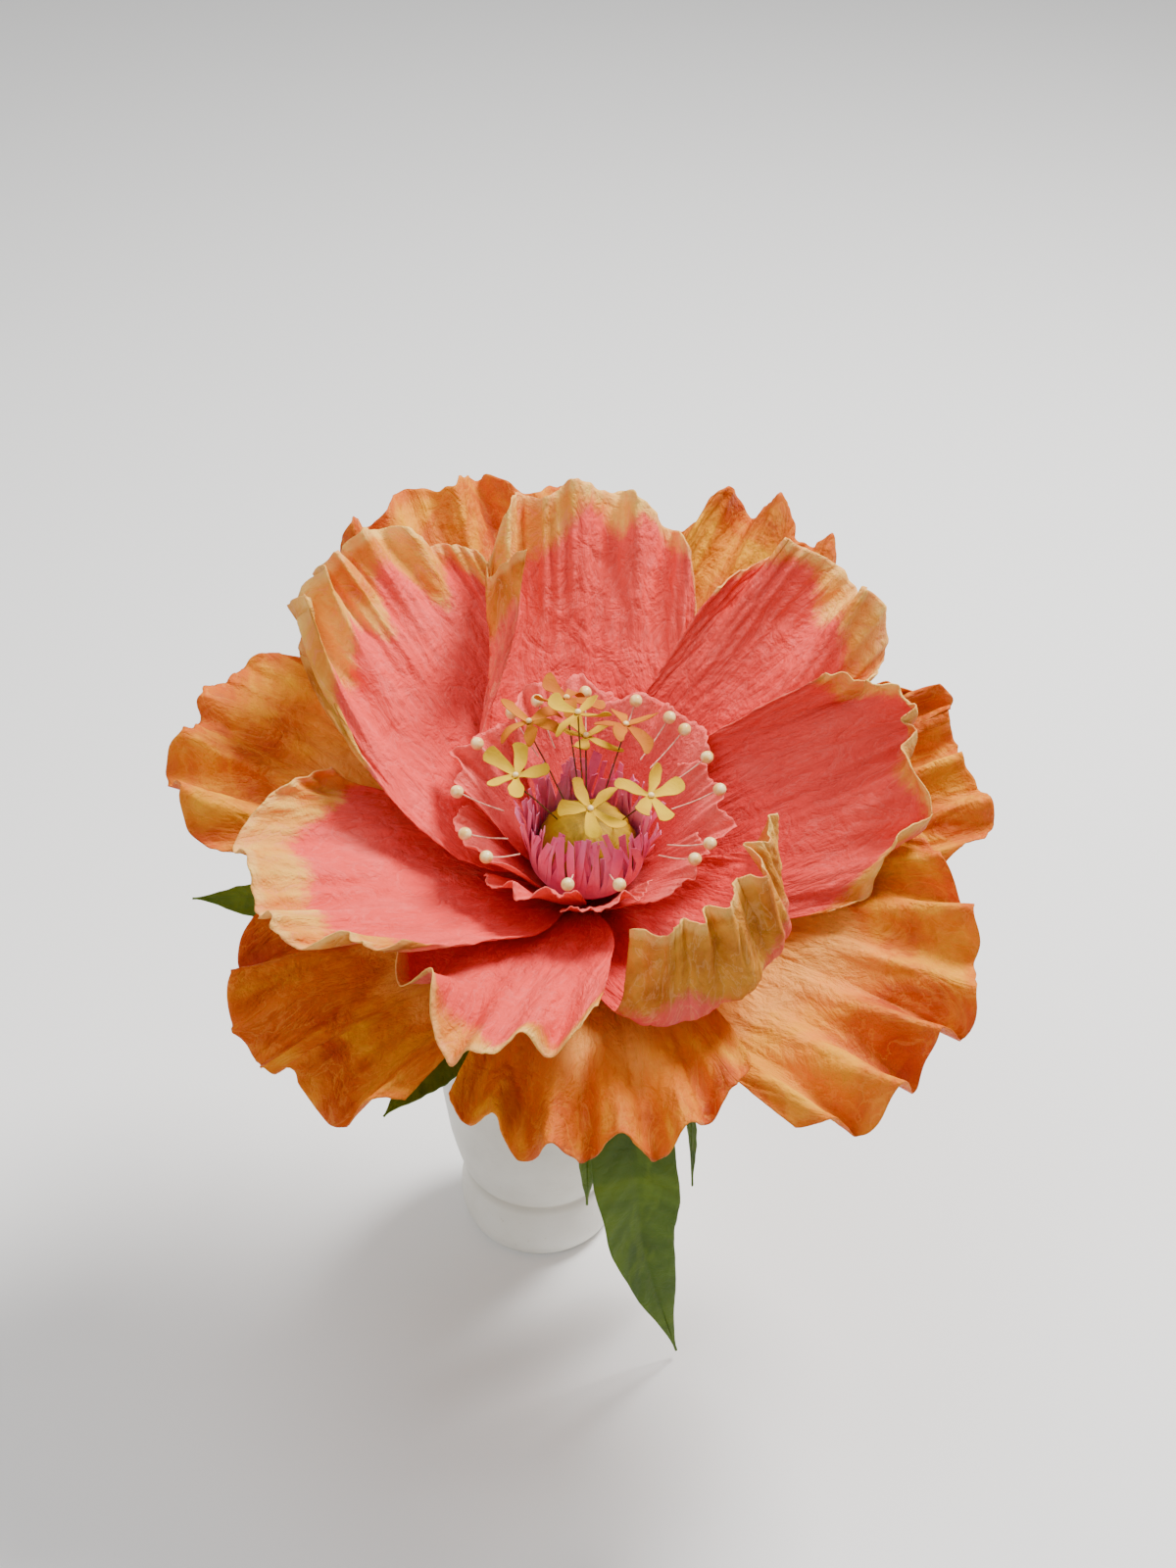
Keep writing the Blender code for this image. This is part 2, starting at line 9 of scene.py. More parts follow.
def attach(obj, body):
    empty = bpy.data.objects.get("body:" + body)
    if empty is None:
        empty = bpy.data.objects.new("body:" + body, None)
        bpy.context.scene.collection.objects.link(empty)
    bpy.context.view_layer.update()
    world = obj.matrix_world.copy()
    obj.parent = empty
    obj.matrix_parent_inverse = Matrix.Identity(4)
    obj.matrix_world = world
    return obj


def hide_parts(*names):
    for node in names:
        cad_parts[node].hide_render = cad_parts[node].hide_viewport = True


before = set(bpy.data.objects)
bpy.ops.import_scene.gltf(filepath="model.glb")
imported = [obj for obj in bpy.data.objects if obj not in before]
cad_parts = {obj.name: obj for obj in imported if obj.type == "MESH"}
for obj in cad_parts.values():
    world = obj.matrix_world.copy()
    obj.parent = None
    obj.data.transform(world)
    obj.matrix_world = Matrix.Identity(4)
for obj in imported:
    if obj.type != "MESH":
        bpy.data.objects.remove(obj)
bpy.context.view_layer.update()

# the flower is built in its own frame, +Z along its axis, then leaned over
headPlace = Vector((0.019, -0.026, 0.200))
headLean = (13.0, 2.0)
headTurn = (Matrix.Rotation(math.radians(headLean[0]), 4, "X")
            @ Matrix.Rotation(math.radians(headLean[1]), 4, "Y"))
headMatrix = Matrix.Translation(headPlace) @ headTurn


def deselectAll():
    if bpy.context.object and bpy.context.object.mode != "OBJECT":
        bpy.ops.object.mode_set(mode="OBJECT")
    bpy.ops.object.select_all(action="DESELECT")


def pick(obj):
    deselectAll()
    obj.select_set(True)
    bpy.context.view_layer.objects.active = obj


def named(name):
    obj = bpy.context.active_object
    obj.name = name
    obj.data.name = name
    return obj


def applyPlace(obj):
    pick(obj)
    bpy.ops.object.transform_apply(location=True, rotation=True, scale=True)


def placeMesh(obj, matrix):
    obj.data.transform(matrix)
    obj.data.update()


def useModifier(obj, kind, **values):
    pick(obj)
    bpy.ops.object.modifier_add(type=kind)
    modifier = obj.modifiers[-1]
    for key, value in values.items():
        setattr(modifier, key, value)
    bpy.ops.object.modifier_apply(modifier=modifier.name)


def joinAll(pieces, name):
    deselectAll()
    for piece in pieces:
        piece.select_set(True)
    bpy.context.view_layer.objects.active = pieces[0]
    bpy.ops.object.join()
    return named(name)


def smoothShade(obj, angle=None):
    pick(obj)
    if angle is None:
        bpy.ops.object.shade_smooth()
    else:
        bpy.ops.object.shade_smooth_by_angle(angle=math.radians(angle))


def finishPiece(obj, materials, slot, *nodes):
    obj.data.materials.clear()
    for material in materials:
        obj.data.materials.append(material)
    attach(obj, "root")
    if nodes:
        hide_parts(*nodes)
    return obj


def ease(place):
    t = np.clip(place, 0.0, 1.0)
    return t * t * (3 - 2 * t)


def knots(values, place):
    # a smooth curve through evenly spaced values
    values = np.asarray(values, float)
    last = len(values) - 1
    at = np.clip(place, 0, 1) * last
    k = np.minimum(at.astype(int), last - 1)
    t = at - k
    b = values[k]
    c = values[k + 1]
    a = np.where(k > 0, values[np.maximum(k - 1, 0)], 2 * b - c)
    d = np.where(k < last - 1, values[np.minimum(k + 2, last)], 2 * c - b)
    square = (2 * a - 5 * b + 4 * c - d) * t ** 2
    cube = (3 * b - a - 3 * c + d) * t ** 3
    return 0.5 * (2 * b + (c - a) * t + square + cube)


def wander(place, seed, low, high, count=4):
    # an uneven wave between about -1 and 1
    dice = random.Random(seed)
    total = 0
    for k in range(count):
        pace = dice.uniform(low, high)
        total = total + dice.uniform(0.6, 1.0) * np.sin(place * pace + dice.uniform(0, 6.28))
    return total / (0.62 * count)


def polar(radius, azimuth, height):
    turn = math.radians(azimuth)
    return Vector((radius * math.cos(turn), radius * math.sin(turn), height))


def addAttribute(obj, name, values):
    layer = obj.data.attributes.new(name, "FLOAT", "POINT")
    layer.data.foreach_set("value", np.asarray(values, dtype=np.float32).ravel())


def nodeIn(tree, kind, **values):
    node = tree.nodes.new(kind)
    for key, value in values.items():
        if key in node.inputs:
            node.inputs[key].default_value = value
        else:
            setattr(node, key, value)
    return node


def feed(tree, socket, value):
    # a number or a colour is set on the socket, anything else is linked to it
    if isinstance(value, (int, float)):
        socket.default_value = value
    elif isinstance(value, tuple):
        socket.default_value = (*deep(value), 1.0)
    else:
        tree.links.new(value, socket)


def mathNode(tree, operation, first, second=None):
    node = tree.nodes.new("ShaderNodeMath")
    node.operation = operation
    feed(tree, node.inputs[0], first)
    if second is not None:
        feed(tree, node.inputs[1], second)
    return node.outputs[0]


def mixColour(tree, factor, first, second, blend="MIX"):
    node = tree.nodes.new("ShaderNodeMix")
    node.data_type = "RGBA"
    node.blend_type = blend
    feed(tree, node.inputs[0], factor)
    feed(tree, node.inputs[6], first)
    feed(tree, node.inputs[7], second)
    return node.outputs[2]


def mapRange(tree, value, fromLow, fromHigh, toLow=0.0, toHigh=1.0):
    node = tree.nodes.new("ShaderNodeMapRange")
    node.interpolation_type = "SMOOTHSTEP"
    tree.links.new(value, node.inputs["Value"])
    feed(tree, node.inputs["From Min"], fromLow)
    node.inputs["From Max"].default_value = fromHigh
    node.inputs["To Min"].default_value = toLow
    node.inputs["To Max"].default_value = toHigh
    return node.outputs["Result"]


dyeDepth = 1.45


def deep(colour):
    # the film look pales strong dyes, so each colour is pushed away from grey first
    peak = max(colour)
    return tuple(peak * (part / peak) ** dyeDepth for part in colour)


def colourRamp(tree, value, stops):
    node = tree.nodes.new("ShaderNodeValToRGB")
    tree.links.new(value, node.inputs["Fac"])
    marks = node.color_ramp.elements
    while len(marks) < len(stops):
        marks.new(0.5)
    for mark, (place, colour) in zip(marks, stops):
        mark.position = place
        mark.color = (*deep(colour), 1.0)
    return node.outputs["Color"]


def fromMiddle(tree, value, middle=0.5):
    # how far a value lies from the middle, either way
    return mathNode(tree, "ABSOLUTE", mathNode(tree, "SUBTRACT", value, middle))


def startGroup(name, inputs, outputs):
    # inputs and outputs give each socket's name and kind
    group = bpy.data.node_groups.new(name, "ShaderNodeTree")
    for direction, sockets in (("INPUT", inputs), ("OUTPUT", outputs)):
        for socket, kind in sockets.items():
            group.interface.new_socket(name=socket, in_out=direction, socket_type=f"NodeSocket{kind}")
    return group, group.nodes.new("NodeGroupInput"), group.nodes.new("NodeGroupOutput")


def useGroup(tree, group, **inputs):
    # socket names are written with _ for a space
    node = tree.nodes.new("ShaderNodeGroup")
    node.node_tree = group
    for name, value in inputs.items():
        feed(tree, node.inputs[name.replace("_", " ")], value)
    return node.outputs


def makePaperGroup():
    # crinkled handmade paper: soft crumples, wrinkles that run along the petal, and fine fibres
    group, inside, outside = startGroup(
        "crinkledPaper",
        {"Vector": "Vector", "Flow": "Vector", "Crumple Scale": "Float", "Wrinkle Scale": "Float"},
        {"Height": "Float", "Crease": "Float", "Mottle": "Float", "Fibre": "Float"})
    link = group.links.new

    crumple = nodeIn(group, "ShaderNodeTexNoise", Detail=5.0, Roughness=0.60, Distortion=0.5)
    link(inside.outputs["Vector"], crumple.inputs["Vector"])
    link(inside.outputs["Crumple Scale"], crumple.inputs["Scale"])
    soft = fromMiddle(group, crumple.outputs["Fac"])

    stretch = nodeIn(group, "ShaderNodeMapping")
    stretch.inputs["Scale"].default_value = (3.4, 1.7, 1.0)
    link(inside.outputs["Flow"], stretch.inputs["Vector"])
    wrinkle = nodeIn(group, "ShaderNodeTexNoise", Detail=5.0, Roughness=0.58, Distortion=1.3)
    link(stretch.outputs[0], wrinkle.inputs["Vector"])
    link(inside.outputs["Wrinkle Scale"], wrinkle.inputs["Scale"])
    valley = fromMiddle(group, wrinkle.outputs["Fac"])
    line = mapRange(group, valley, 0.0, 0.030, 1.0, 0.0)

    fibre = nodeIn(group, "ShaderNodeTexNoise", Scale=17.0, Detail=6.0, Roughness=0.72, Distortion=0.5)
    link(stretch.outputs[0], fibre.inputs["Vector"])

    mottle = nodeIn(group, "ShaderNodeTexNoise", Scale=24.0, Detail=4.0, Roughness=0.6, Distortion=0.8)
    link(inside.outputs["Vector"], mottle.inputs["Vector"])

    height = mathNode(group, "MULTIPLY", soft, 1.7)
    height = mathNode(group, "ADD", height, mathNode(group, "MULTIPLY", valley, 1.5))
    height = mathNode(group, "ADD", height, mathNode(group, "MULTIPLY", fibre.outputs["Fac"], 0.30))
    link(height, outside.inputs["Height"])
    link(line, outside.inputs["Crease"])
    link(mottle.outputs["Fac"], outside.inputs["Mottle"])
    link(fibre.outputs["Fac"], outside.inputs["Fibre"])
    return group


def makeDyeGroup():
    # a rim dye that runs into the body colour along the fibres
    group, inside, outside = startGroup(
        "rimDye", {"Body": "Color", "Rim": "Color", "Dye": "Float", "Fibre": "Float", "Drift": "Float"},
        {"Color": "Color", "Streaks": "Float"})
    streaks = mathNode(group, "MULTIPLY", mathNode(group, "SUBTRACT", inside.outputs["Fibre"], 0.5), 0.7)
    edge = mathNode(group, "ADD", inside.outputs["Dye"], streaks)
    edge = mathNode(group, "ADD", edge, mathNode(group, "MULTIPLY", inside.outputs["Drift"], 0.8))
    edge = mapRange(group, edge, 0.30, 0.72)
    colour = mixColour(group, edge, inside.outputs["Body"], inside.outputs["Rim"])
    group.links.new(colour, outside.inputs["Color"])
    group.links.new(streaks, outside.inputs["Streaks"])
    return group


def makeCreaseHighlightGroup():
    # painted highlights along the crease lines, and loose fibre specks in the same colour, laid over a paper
    # colour
    group, inside, outside = startGroup(
        "creaseHighlightsAndFibres",
        {"Color": "Color", "Crease Color": "Color", "Crease": "Float", "Fibre": "Float",
         "Crease Amount": "Float", "Speck From": "Float", "Speck Amount": "Float"},
        {"Color": "Color"})
    # painted highlight: the crease lines are lightened toward the highlight colour
    creaseHighlight = mathNode(group, "MULTIPLY", inside.outputs["Crease"], inside.outputs["Crease Amount"])
    colour = mixColour(group, creaseHighlight, inside.outputs["Color"], inside.outputs["Crease Color"])
    speck = mapRange(group, inside.outputs["Fibre"], inside.outputs["Speck From"], 0.80)
    speck = mathNode(group, "MULTIPLY", speck, inside.outputs["Speck Amount"])
    colour = mixColour(group, speck, colour, inside.outputs["Crease Color"])
    group.links.new(colour, outside.inputs["Color"])
    return group


paperGroup = makePaperGroup()
dyeGroup = makeDyeGroup()
creaseHighlightGroup = makeCreaseHighlightGroup()


def addBump(tree, shader, height, strength, distance):
    bump = nodeIn(tree, "ShaderNodeBump", Strength=strength, Distance=distance)
    tree.links.new(height, bump.inputs["Height"])
    tree.links.new(bump.outputs["Normal"], shader.inputs["Normal"])


def startMaterial(name, roughness, subsurface=0.0, scatter=(1.0, 0.4, 0.3)):
    material = bpy.data.materials.new(name)
    material.use_nodes = True
    tree = material.node_tree
    shader = tree.nodes["Principled BSDF"]
    shader.inputs["Roughness"].default_value = roughness
    shader.inputs["Specular IOR Level"].default_value = 0.28
    if subsurface:
        shader.inputs["Subsurface Weight"].default_value = subsurface
        shader.inputs["Subsurface Radius"].default_value = scatter
        shader.inputs["Subsurface Scale"].default_value = 0.004
    return material, tree, shader


def addPaper(tree, shader, crumpleScale, wrinkleScale, strength, distance, flow=True):
    coords = tree.nodes.new("ShaderNodeTexCoord")
    paper = useGroup(tree, paperGroup, Vector=coords.outputs["Object"],
                     Flow=coords.outputs["UV" if flow else "Object"], Crumple_Scale=crumpleScale,
                     Wrinkle_Scale=wrinkleScale)
    addBump(tree, shader, paper["Height"], strength, distance)
    return paper, coords


def attributeOf(tree, name):
    node = tree.nodes.new("ShaderNodeAttribute")
    node.attribute_name = name
    return node.outputs["Fac"]


def makePetalMaterial(name, look):
    # body colours from root to rim, then the rim dye laid over them where the "dye" attribute is
    material, tree, shader = startMaterial(name, look["roughness"], 0.12, look["scatter"])
    paper, coords = addPaper(tree, shader, look["crumple"], look["wrinkles"], look["bump"], 0.0022)
    splitter = tree.nodes.new("ShaderNodeSeparateXYZ")
    tree.links.new(coords.outputs["UV"], splitter.inputs[0])
    drift = mathNode(tree, "MULTIPLY", mathNode(tree, "SUBTRACT", paper["Mottle"], 0.5), 0.40)
    along = mathNode(tree, "ADD", splitter.outputs["Y"], drift)
    body = colourRamp(tree, along, look["body"])
    patches = mathNode(tree, "MULTIPLY", mapRange(tree, paper["Mottle"], 0.50, 0.72), look["patchAmount"])
    body = mixColour(tree, patches, body, look["patch"])
    dyed = useGroup(tree, dyeGroup, Body=body, Rim=colourRamp(tree, paper["Mottle"], look["rim"]),
                    Dye=attributeOf(tree, "dye"), Fibre=paper["Fibre"], Drift=drift)
    tip = mathNode(tree, "ADD", attributeOf(tree, "tip"), mathNode(tree, "MULTIPLY", dyed["Streaks"], 0.5))
    tip = mathNode(tree, "MULTIPLY", mapRange(tree, tip, 0.35, 0.9), look["tipAmount"])
    colour = mixColour(tree, tip, dyed["Color"], look["tip"])
    # painted shade: the fold and pleat valleys are darkened by multiplying in a shade colour
    foldShade = mathNode(tree, "MULTIPLY", attributeOf(tree, "foldShade"), look["foldShadeAmount"])
    colour = mixColour(tree, foldShade, colour, look["foldShade"], "MULTIPLY")
    # painted highlight on the crease lines, with fibre specks in the same colour
    withCreaseHighlights = useGroup(tree, creaseHighlightGroup, Color=colour, Crease_Color=look["creaseHighlight"], Crease=paper["Crease"],
                       Fibre=paper["Fibre"], Crease_Amount=look["creaseHighlightAmount"], Speck_From=0.55,
                       Speck_Amount=0.06)
    tree.links.new(withCreaseHighlights["Color"], shader.inputs["Base Color"])
    smoothest = look["roughness"] - 0.08
    roughest = look["roughness"] + 0.08
    rough = mapRange(tree, paper["Mottle"], 0.3, 0.7, smoothest, roughest)
    tree.links.new(rough, shader.inputs["Roughness"])
    return material


# in each look, the colour multiplied into the fold and pleat valleys is painted shade, and the colour laid on
# the crease lines is a painted highlight that also tints the fibre specks
coralLook = {
    "roughness": 0.76, "scatter": (1.0, 0.20, 0.15), "crumple": 70.0, "wrinkles": 3.4, "bump": 0.85,
    "body": ((0.0, (0.56, 0.030, 0.040)), (0.22, (0.78, 0.080, 0.085)), (0.48, (0.87, 0.120, 0.112)),
             (0.80, (0.90, 0.165, 0.140))),
    "patch": (0.94, 0.25, 0.23), "patchAmount": 0.45,
    "rim": ((0.36, (0.70, 0.30, 0.025)), (0.48, (0.84, 0.46, 0.085)), (0.62, (0.94, 0.64, 0.20))),
    "tip": (0.96, 0.70, 0.28), "tipAmount": 0.60,
    "foldShade": (0.70, 0.24, 0.16), "foldShadeAmount": 0.70,
    "creaseHighlight": (0.97, 0.36, 0.32), "creaseHighlightAmount": 0.20,
}
coralBackLook = dict(
    coralLook,
    body=((0.0, (0.50, 0.05, 0.07)), (0.35, (0.76, 0.09, 0.10)), (0.60, (0.86, 0.17, 0.15)),
          (0.85, (0.88, 0.25, 0.20))),
    patch=(0.52, 0.22, 0.36), patchAmount=0.35,
    rim=((0.36, (0.42, 0.20, 0.020)), (0.52, (0.68, 0.38, 0.060)), (0.66, (0.86, 0.56, 0.16))),
    foldShade=(0.60, 0.33, 0.12), foldShadeAmount=0.80, creaseHighlight=(0.94, 0.66, 0.34))
orangeLook = {
    "roughness": 0.68, "scatter": (1.0, 0.35, 0.06), "crumple": 55.0, "wrinkles": 3.2, "bump": 0.95,
    "body": ((0.0, (0.60, 0.17, 0.02)), (0.30, (0.82, 0.40, 0.090)), (0.58, (0.85, 0.45, 0.12)),
             (0.78, (0.80, 0.32, 0.010))),
    "patch": (0.78, 0.48, 0.010), "patchAmount": 0.60,
    "rim": ((0.34, (0.48, 0.12, 0.000)), (0.48, (0.66, 0.26, 0.000)), (0.62, (0.82, 0.46, 0.001))),
    "tip": (0.66, 0.20, 0.000), "tipAmount": 0.50,
    "foldShade": (0.58, 0.18, 0.02), "foldShadeAmount": 0.75,
    "creaseHighlight": (0.90, 0.50, 0.10), "creaseHighlightAmount": 0.22,
}
orangeBackLook = dict(orangeLook, patch=(0.60, 0.22, 0.01), patchAmount=0.5)

coralFront = makePetalMaterial("coralPaperFront", coralLook)
coralBack = makePetalMaterial("coralPaperBack", coralBackLook)
orangeFront = makePetalMaterial("orangePaperFront", orangeLook)
orangeBack = makePetalMaterial("orangePaperBack", orangeBackLook)


def makePlainPaper(name, colours, creaseHighlight, roughness, crumple, bump, glow=0.08, distance=0.0008):
    # one dyed paper with mottling, used for the small pieces
    material, tree, shader = startMaterial(name, roughness, glow)
    paper = addPaper(tree, shader, crumple, 3.0, bump, distance, False)[0]
    # painted highlight on the crease lines, with fibre specks in the same colour
    withCreaseHighlights = useGroup(tree, creaseHighlightGroup, Color=colourRamp(tree, paper["Mottle"], colours),
                       Crease_Color=creaseHighlight, Crease=paper["Crease"], Fibre=paper["Fibre"], Crease_Amount=0.35,
                       Speck_From=0.58, Speck_Amount=0.18)
    tree.links.new(withCreaseHighlights["Color"], shader.inputs["Base Color"])
    return material


# for each paper below, the single colour after its ramp is the painted highlight on its crease lines, also
# used for its fibre specks
magentaPaper = makePlainPaper(
    "magentaPaper", ((0.36, (0.72, 0.13, 0.30)), (0.50, (0.86, 0.23, 0.42)), (0.64, (0.93, 0.36, 0.54))),
    (0.95, 0.50, 0.64), 0.70, 220, 0.4)
mustardPaper = makePlainPaper(
    "mustardPaper", ((0.34, (0.20, 0.14, 0.000)), (0.50, (0.36, 0.25, 0.001)), (0.66, (0.50, 0.35, 0.002))),
    (0.62, 0.44, 0.01), 0.62, 260, 0.5)
yellowPaper = makePlainPaper(
    "yellowPaper", ((0.40, (0.54, 0.35, 0.000)), (0.56, (0.64, 0.46, 0.000))),
    (0.58, 0.39, 0.00), 0.80, 300, 0.35, 0.0)
amberPaper = makePlainPaper(
    "amberPaper", ((0.40, (0.44, 0.16, 0.000)), (0.56, (0.56, 0.27, 0.000))),
    (0.50, 0.21, 0.00), 0.80, 300, 0.35, 0.0)
greenPaper = makePlainPaper(
    "greenPaper", ((0.36, (0.05, 0.08, 0.002)), (0.50, (0.075, 0.115, 0.003)), (0.64, (0.11, 0.155, 0.005))),
    (0.14, 0.19, 0.01), 0.60, 120, 0.6, 0.0, distance=0.0012)
stemTape = makePlainPaper(
    "stemTape", ((0.36, (0.055, 0.095, 0.012)), (0.50, (0.085, 0.140, 0.018)), (0.64, (0.120, 0.180, 0.030))),
    (0.20, 0.27, 0.06), 0.55, 320, 0.5, 0.0)

salmonLook = dict(
    coralLook, crumple=150.0, wrinkles=5.0, bump=0.55,
    body=((0.0, (0.56, 0.04, 0.07)), (0.30, (0.80, 0.10, 0.115)), (0.60, (0.88, 0.155, 0.155)),
          (0.85, (0.92, 0.22, 0.20))),
    rim=((0.35, (0.92, 0.21, 0.19)), (0.52, (0.94, 0.25, 0.22)), (0.68, (0.96, 0.30, 0.26))),
    tip=(0.96, 0.28, 0.24), tipAmount=0.3, foldShade=(0.70, 0.30, 0.32), foldShadeAmount=0.6)
salmonPaper = makePetalMaterial("salmonPaper", salmonLook)


def objectTexture(tree, kind="ShaderNodeTexNoise", **values):
    # a texture placed in the piece's own coordinates
    coords = tree.nodes.new("ShaderNodeTexCoord")
    texture = nodeIn(tree, kind, **values)
    tree.links.new(coords.outputs["Object"], texture.inputs["Vector"])
    return texture.outputs["Fac"]


def makeBeadMaterial():
    material, tree, shader = startMaterial("pearlBead", 0.30, 0.15, (1.0, 0.7, 0.4))
    shader.inputs["Coat Weight"].default_value = 0.25
    shader.inputs["Coat Roughness"].default_value = 0.25
    cloud = objectTexture(tree, Scale=420.0, Detail=3.0)
    colour = colourRamp(tree, cloud, ((0.35, (0.80, 0.56, 0.22)), (0.55, (0.93, 0.75, 0.42)),
                                      (0.70, (0.98, 0.86, 0.58))))
    tree.links.new(colour, shader.inputs["Base Color"])
    addBump(tree, shader, cloud, 0.25, 0.0002)
    return material


def makeThreadMaterial(name, dark, light):
    material, tree, shader = startMaterial(name, 0.55)
    grain = objectTexture(tree, Scale=600.0, Detail=2.0)
    tree.links.new(colourRamp(tree, grain, ((0.35, dark), (0.65, light))), shader.inputs["Base Color"])
    return material


waistHeight = 0.0305


def makeCeramicMaterial():
    # unglazed white clay: faint turning rings, cloudy tone, painted shade in the waist
    material, tree, shader = startMaterial("whiteClay", 0.48)
    shader.inputs["Specular IOR Level"].default_value = 0.4
    coords = tree.nodes.new("ShaderNodeTexCoord")
    cloud = objectTexture(tree, Scale=18.0, Detail=4.0, Roughness=0.6)
    colour = colourRamp(tree, cloud, ((0.30, (0.74, 0.72, 0.66)), (0.50, (0.84, 0.825, 0.77)),
                                      (0.70, (0.89, 0.88, 0.84))))
    splitter = tree.nodes.new("ShaderNodeSeparateXYZ")
    tree.links.new(coords.outputs["Object"], splitter.inputs[0])
    # painted shade: a darker band at the waist's height, where the profile pinches in
    waistShade = mapRange(tree, fromMiddle(tree, splitter.outputs["Z"], waistHeight), 0.0, 0.004, 0.55, 0.0)
    colour = mixColour(tree, waistShade, colour, (0.46, 0.43, 0.36))
    specks = objectTexture(tree, Scale=700.0, Detail=1.0)
    colour = mixColour(tree, mapRange(tree, specks, 0.70, 0.78, 0.0, 0.30), colour, (0.45, 0.40, 0.32))
    tree.links.new(colour, shader.inputs["Base Color"])
    rings = objectTexture(tree, "ShaderNodeTexWave", Scale=160.0, Distortion=1.2, Detail=2.0,
                          bands_direction="Z")
    height = mathNode(tree, "ADD", mathNode(tree, "MULTIPLY", rings, 0.3), specks)
    addBump(tree, shader, height, 0.22, 0.0003)
    tree.links.new(mapRange(tree, cloud, 0.3, 0.7, 0.40, 0.58), shader.inputs["Roughness"])
    return material


pearlBead = makeBeadMaterial()
paleThread = makeThreadMaterial("paleThread", (0.70, 0.34, 0.28), (0.90, 0.62, 0.48))
darkWire = makeThreadMaterial("darkWire", (0.05, 0.035, 0.012), (0.16, 0.11, 0.03))
whiteClay = makeCeramicMaterial()
print("materials made")


petalBuild = {"rows": 120, "columns": 156, "root": 0.009, "paper": 0.00042}
innerRing = {"height": 0.002, "step": 0.0016, "twist": 4.0, "cup": 6.0, "round": 0.20}
outerRing = {"height": -0.004, "step": 0.0016, "twist": 3.0, "cup": 3.0, "round": 0.15}
smallRing = {"height": 0.0063, "step": 0.0012, "twist": 3.5, "cup": 2.0, "round": 0.10, "frontLift": 10.0}

# shape values as the frame's, then how the paper is worked: ruffle and frill are slopes in
# degrees, pleat is in metres, dyeFrom says where the rim dye starts
innerPetals = (
    {"azimuth": 138, "length": 0.148, "rise": (34, 37, 36, 30), "ccw": (44, 56, 38, 18),
     "cw": (40, 40, 34, 28), "ccwLift": -8, "ruffle": 9, "folds": 7, "frill": 30, "pleats": 26,
     "pleat": 0.0011, "dyeFrom": 0.82, "dyeLean": 0.06},
    {"azimuth": 92, "length": 0.144, "rise": (34, 42, 46, 44), "ccw": (50, 60, 32, 22),
     "cw": (40, 40, 31, 25), "ccwLift": -11, "cwLift": -7, "ruffle": 7, "folds": 6, "frill": 26,
     "pleats": 18, "pleat": 0.0008, "dyeFrom": 0.90, "dyeLean": 0.12, "flap": (0.80, 0.42, 34.0)},
    {"azimuth": 40, "length": 0.146, "rise": (34, 38, 36, 30), "ccw": (40, 38, 27, 20),
     "cw": (40, 36, 27, 15), "ccwLift": -1, "cwLift": -10, "cwCut": 0.06, "ruffle": 12, "folds": 5,
     "frill": 34, "pleats": 20, "pleat": 0.0010, "dyeFrom": 0.90, "dyeLean": -0.10},
    {"azimuth": 10, "length": 0.138, "rise": (34, 30, 26, 34), "ccw": (40, 42, 27, 15),
     "cw": (40, 44, 34, 27), "ccwLift": 8, "cwLift": -12, "cwCut": 0.16, "ruffle": 9, "folds": 6,
     "frill": 30, "pleats": 16, "pleat": 0.0007, "dyeFrom": 0.92, "dyeLean": 0.0,
     "rolls": ((0.1, 0.9, 0.86, 85.0, 0.12),)},
    {"azimuth": -48, "length": 0.128, "rise": (32, 22, 20, 28), "ccw": (40, 44, 40, 34),
     "cw": (40, 46, 34, 28), "ccwLift": 8, "curl": (0.60, 92.0, 0.16), "ccwCut": 0.10, "ruffle": 7,
     "folds": 6, "frill": 14, "pleats": 15, "pleat": 0.0014, "dyeFrom": 0.72, "dyeLean": 0.0},
    {"azimuth": -116, "length": 0.104, "cwCut": 0.20, "rise": (36, 27, 18, 5), "ccw": (40, 42, 34, 28),
     "cw": (38, 40, 42, 42), "cwLift": -6, "ruffle": 13, "folds": 6, "frill": 40, "pleats": 9,
     "pleat": 0.0006, "dyeFrom": 0.93, "dyeLean": 0.0, "rolls": ((-0.45, 0.30, 0.76, 55.0, 0.14),)},
    {"azimuth": 204, "length": 0.126, "rise": (33, 25, 20, 26), "ccw": (40, 44, 32, 24),
     "cw": (40, 44, 42, 36), "ccwLift": 6, "ruffle": 6, "folds": 6, "frill": 24, "pleats": 18,
     "pleat": 0.0007, "dyeFrom": 0.84, "dyeLean": -0.03, "rolls": ((-0.95, 0.22, 0.80, 50.0, 0.16),)},
)
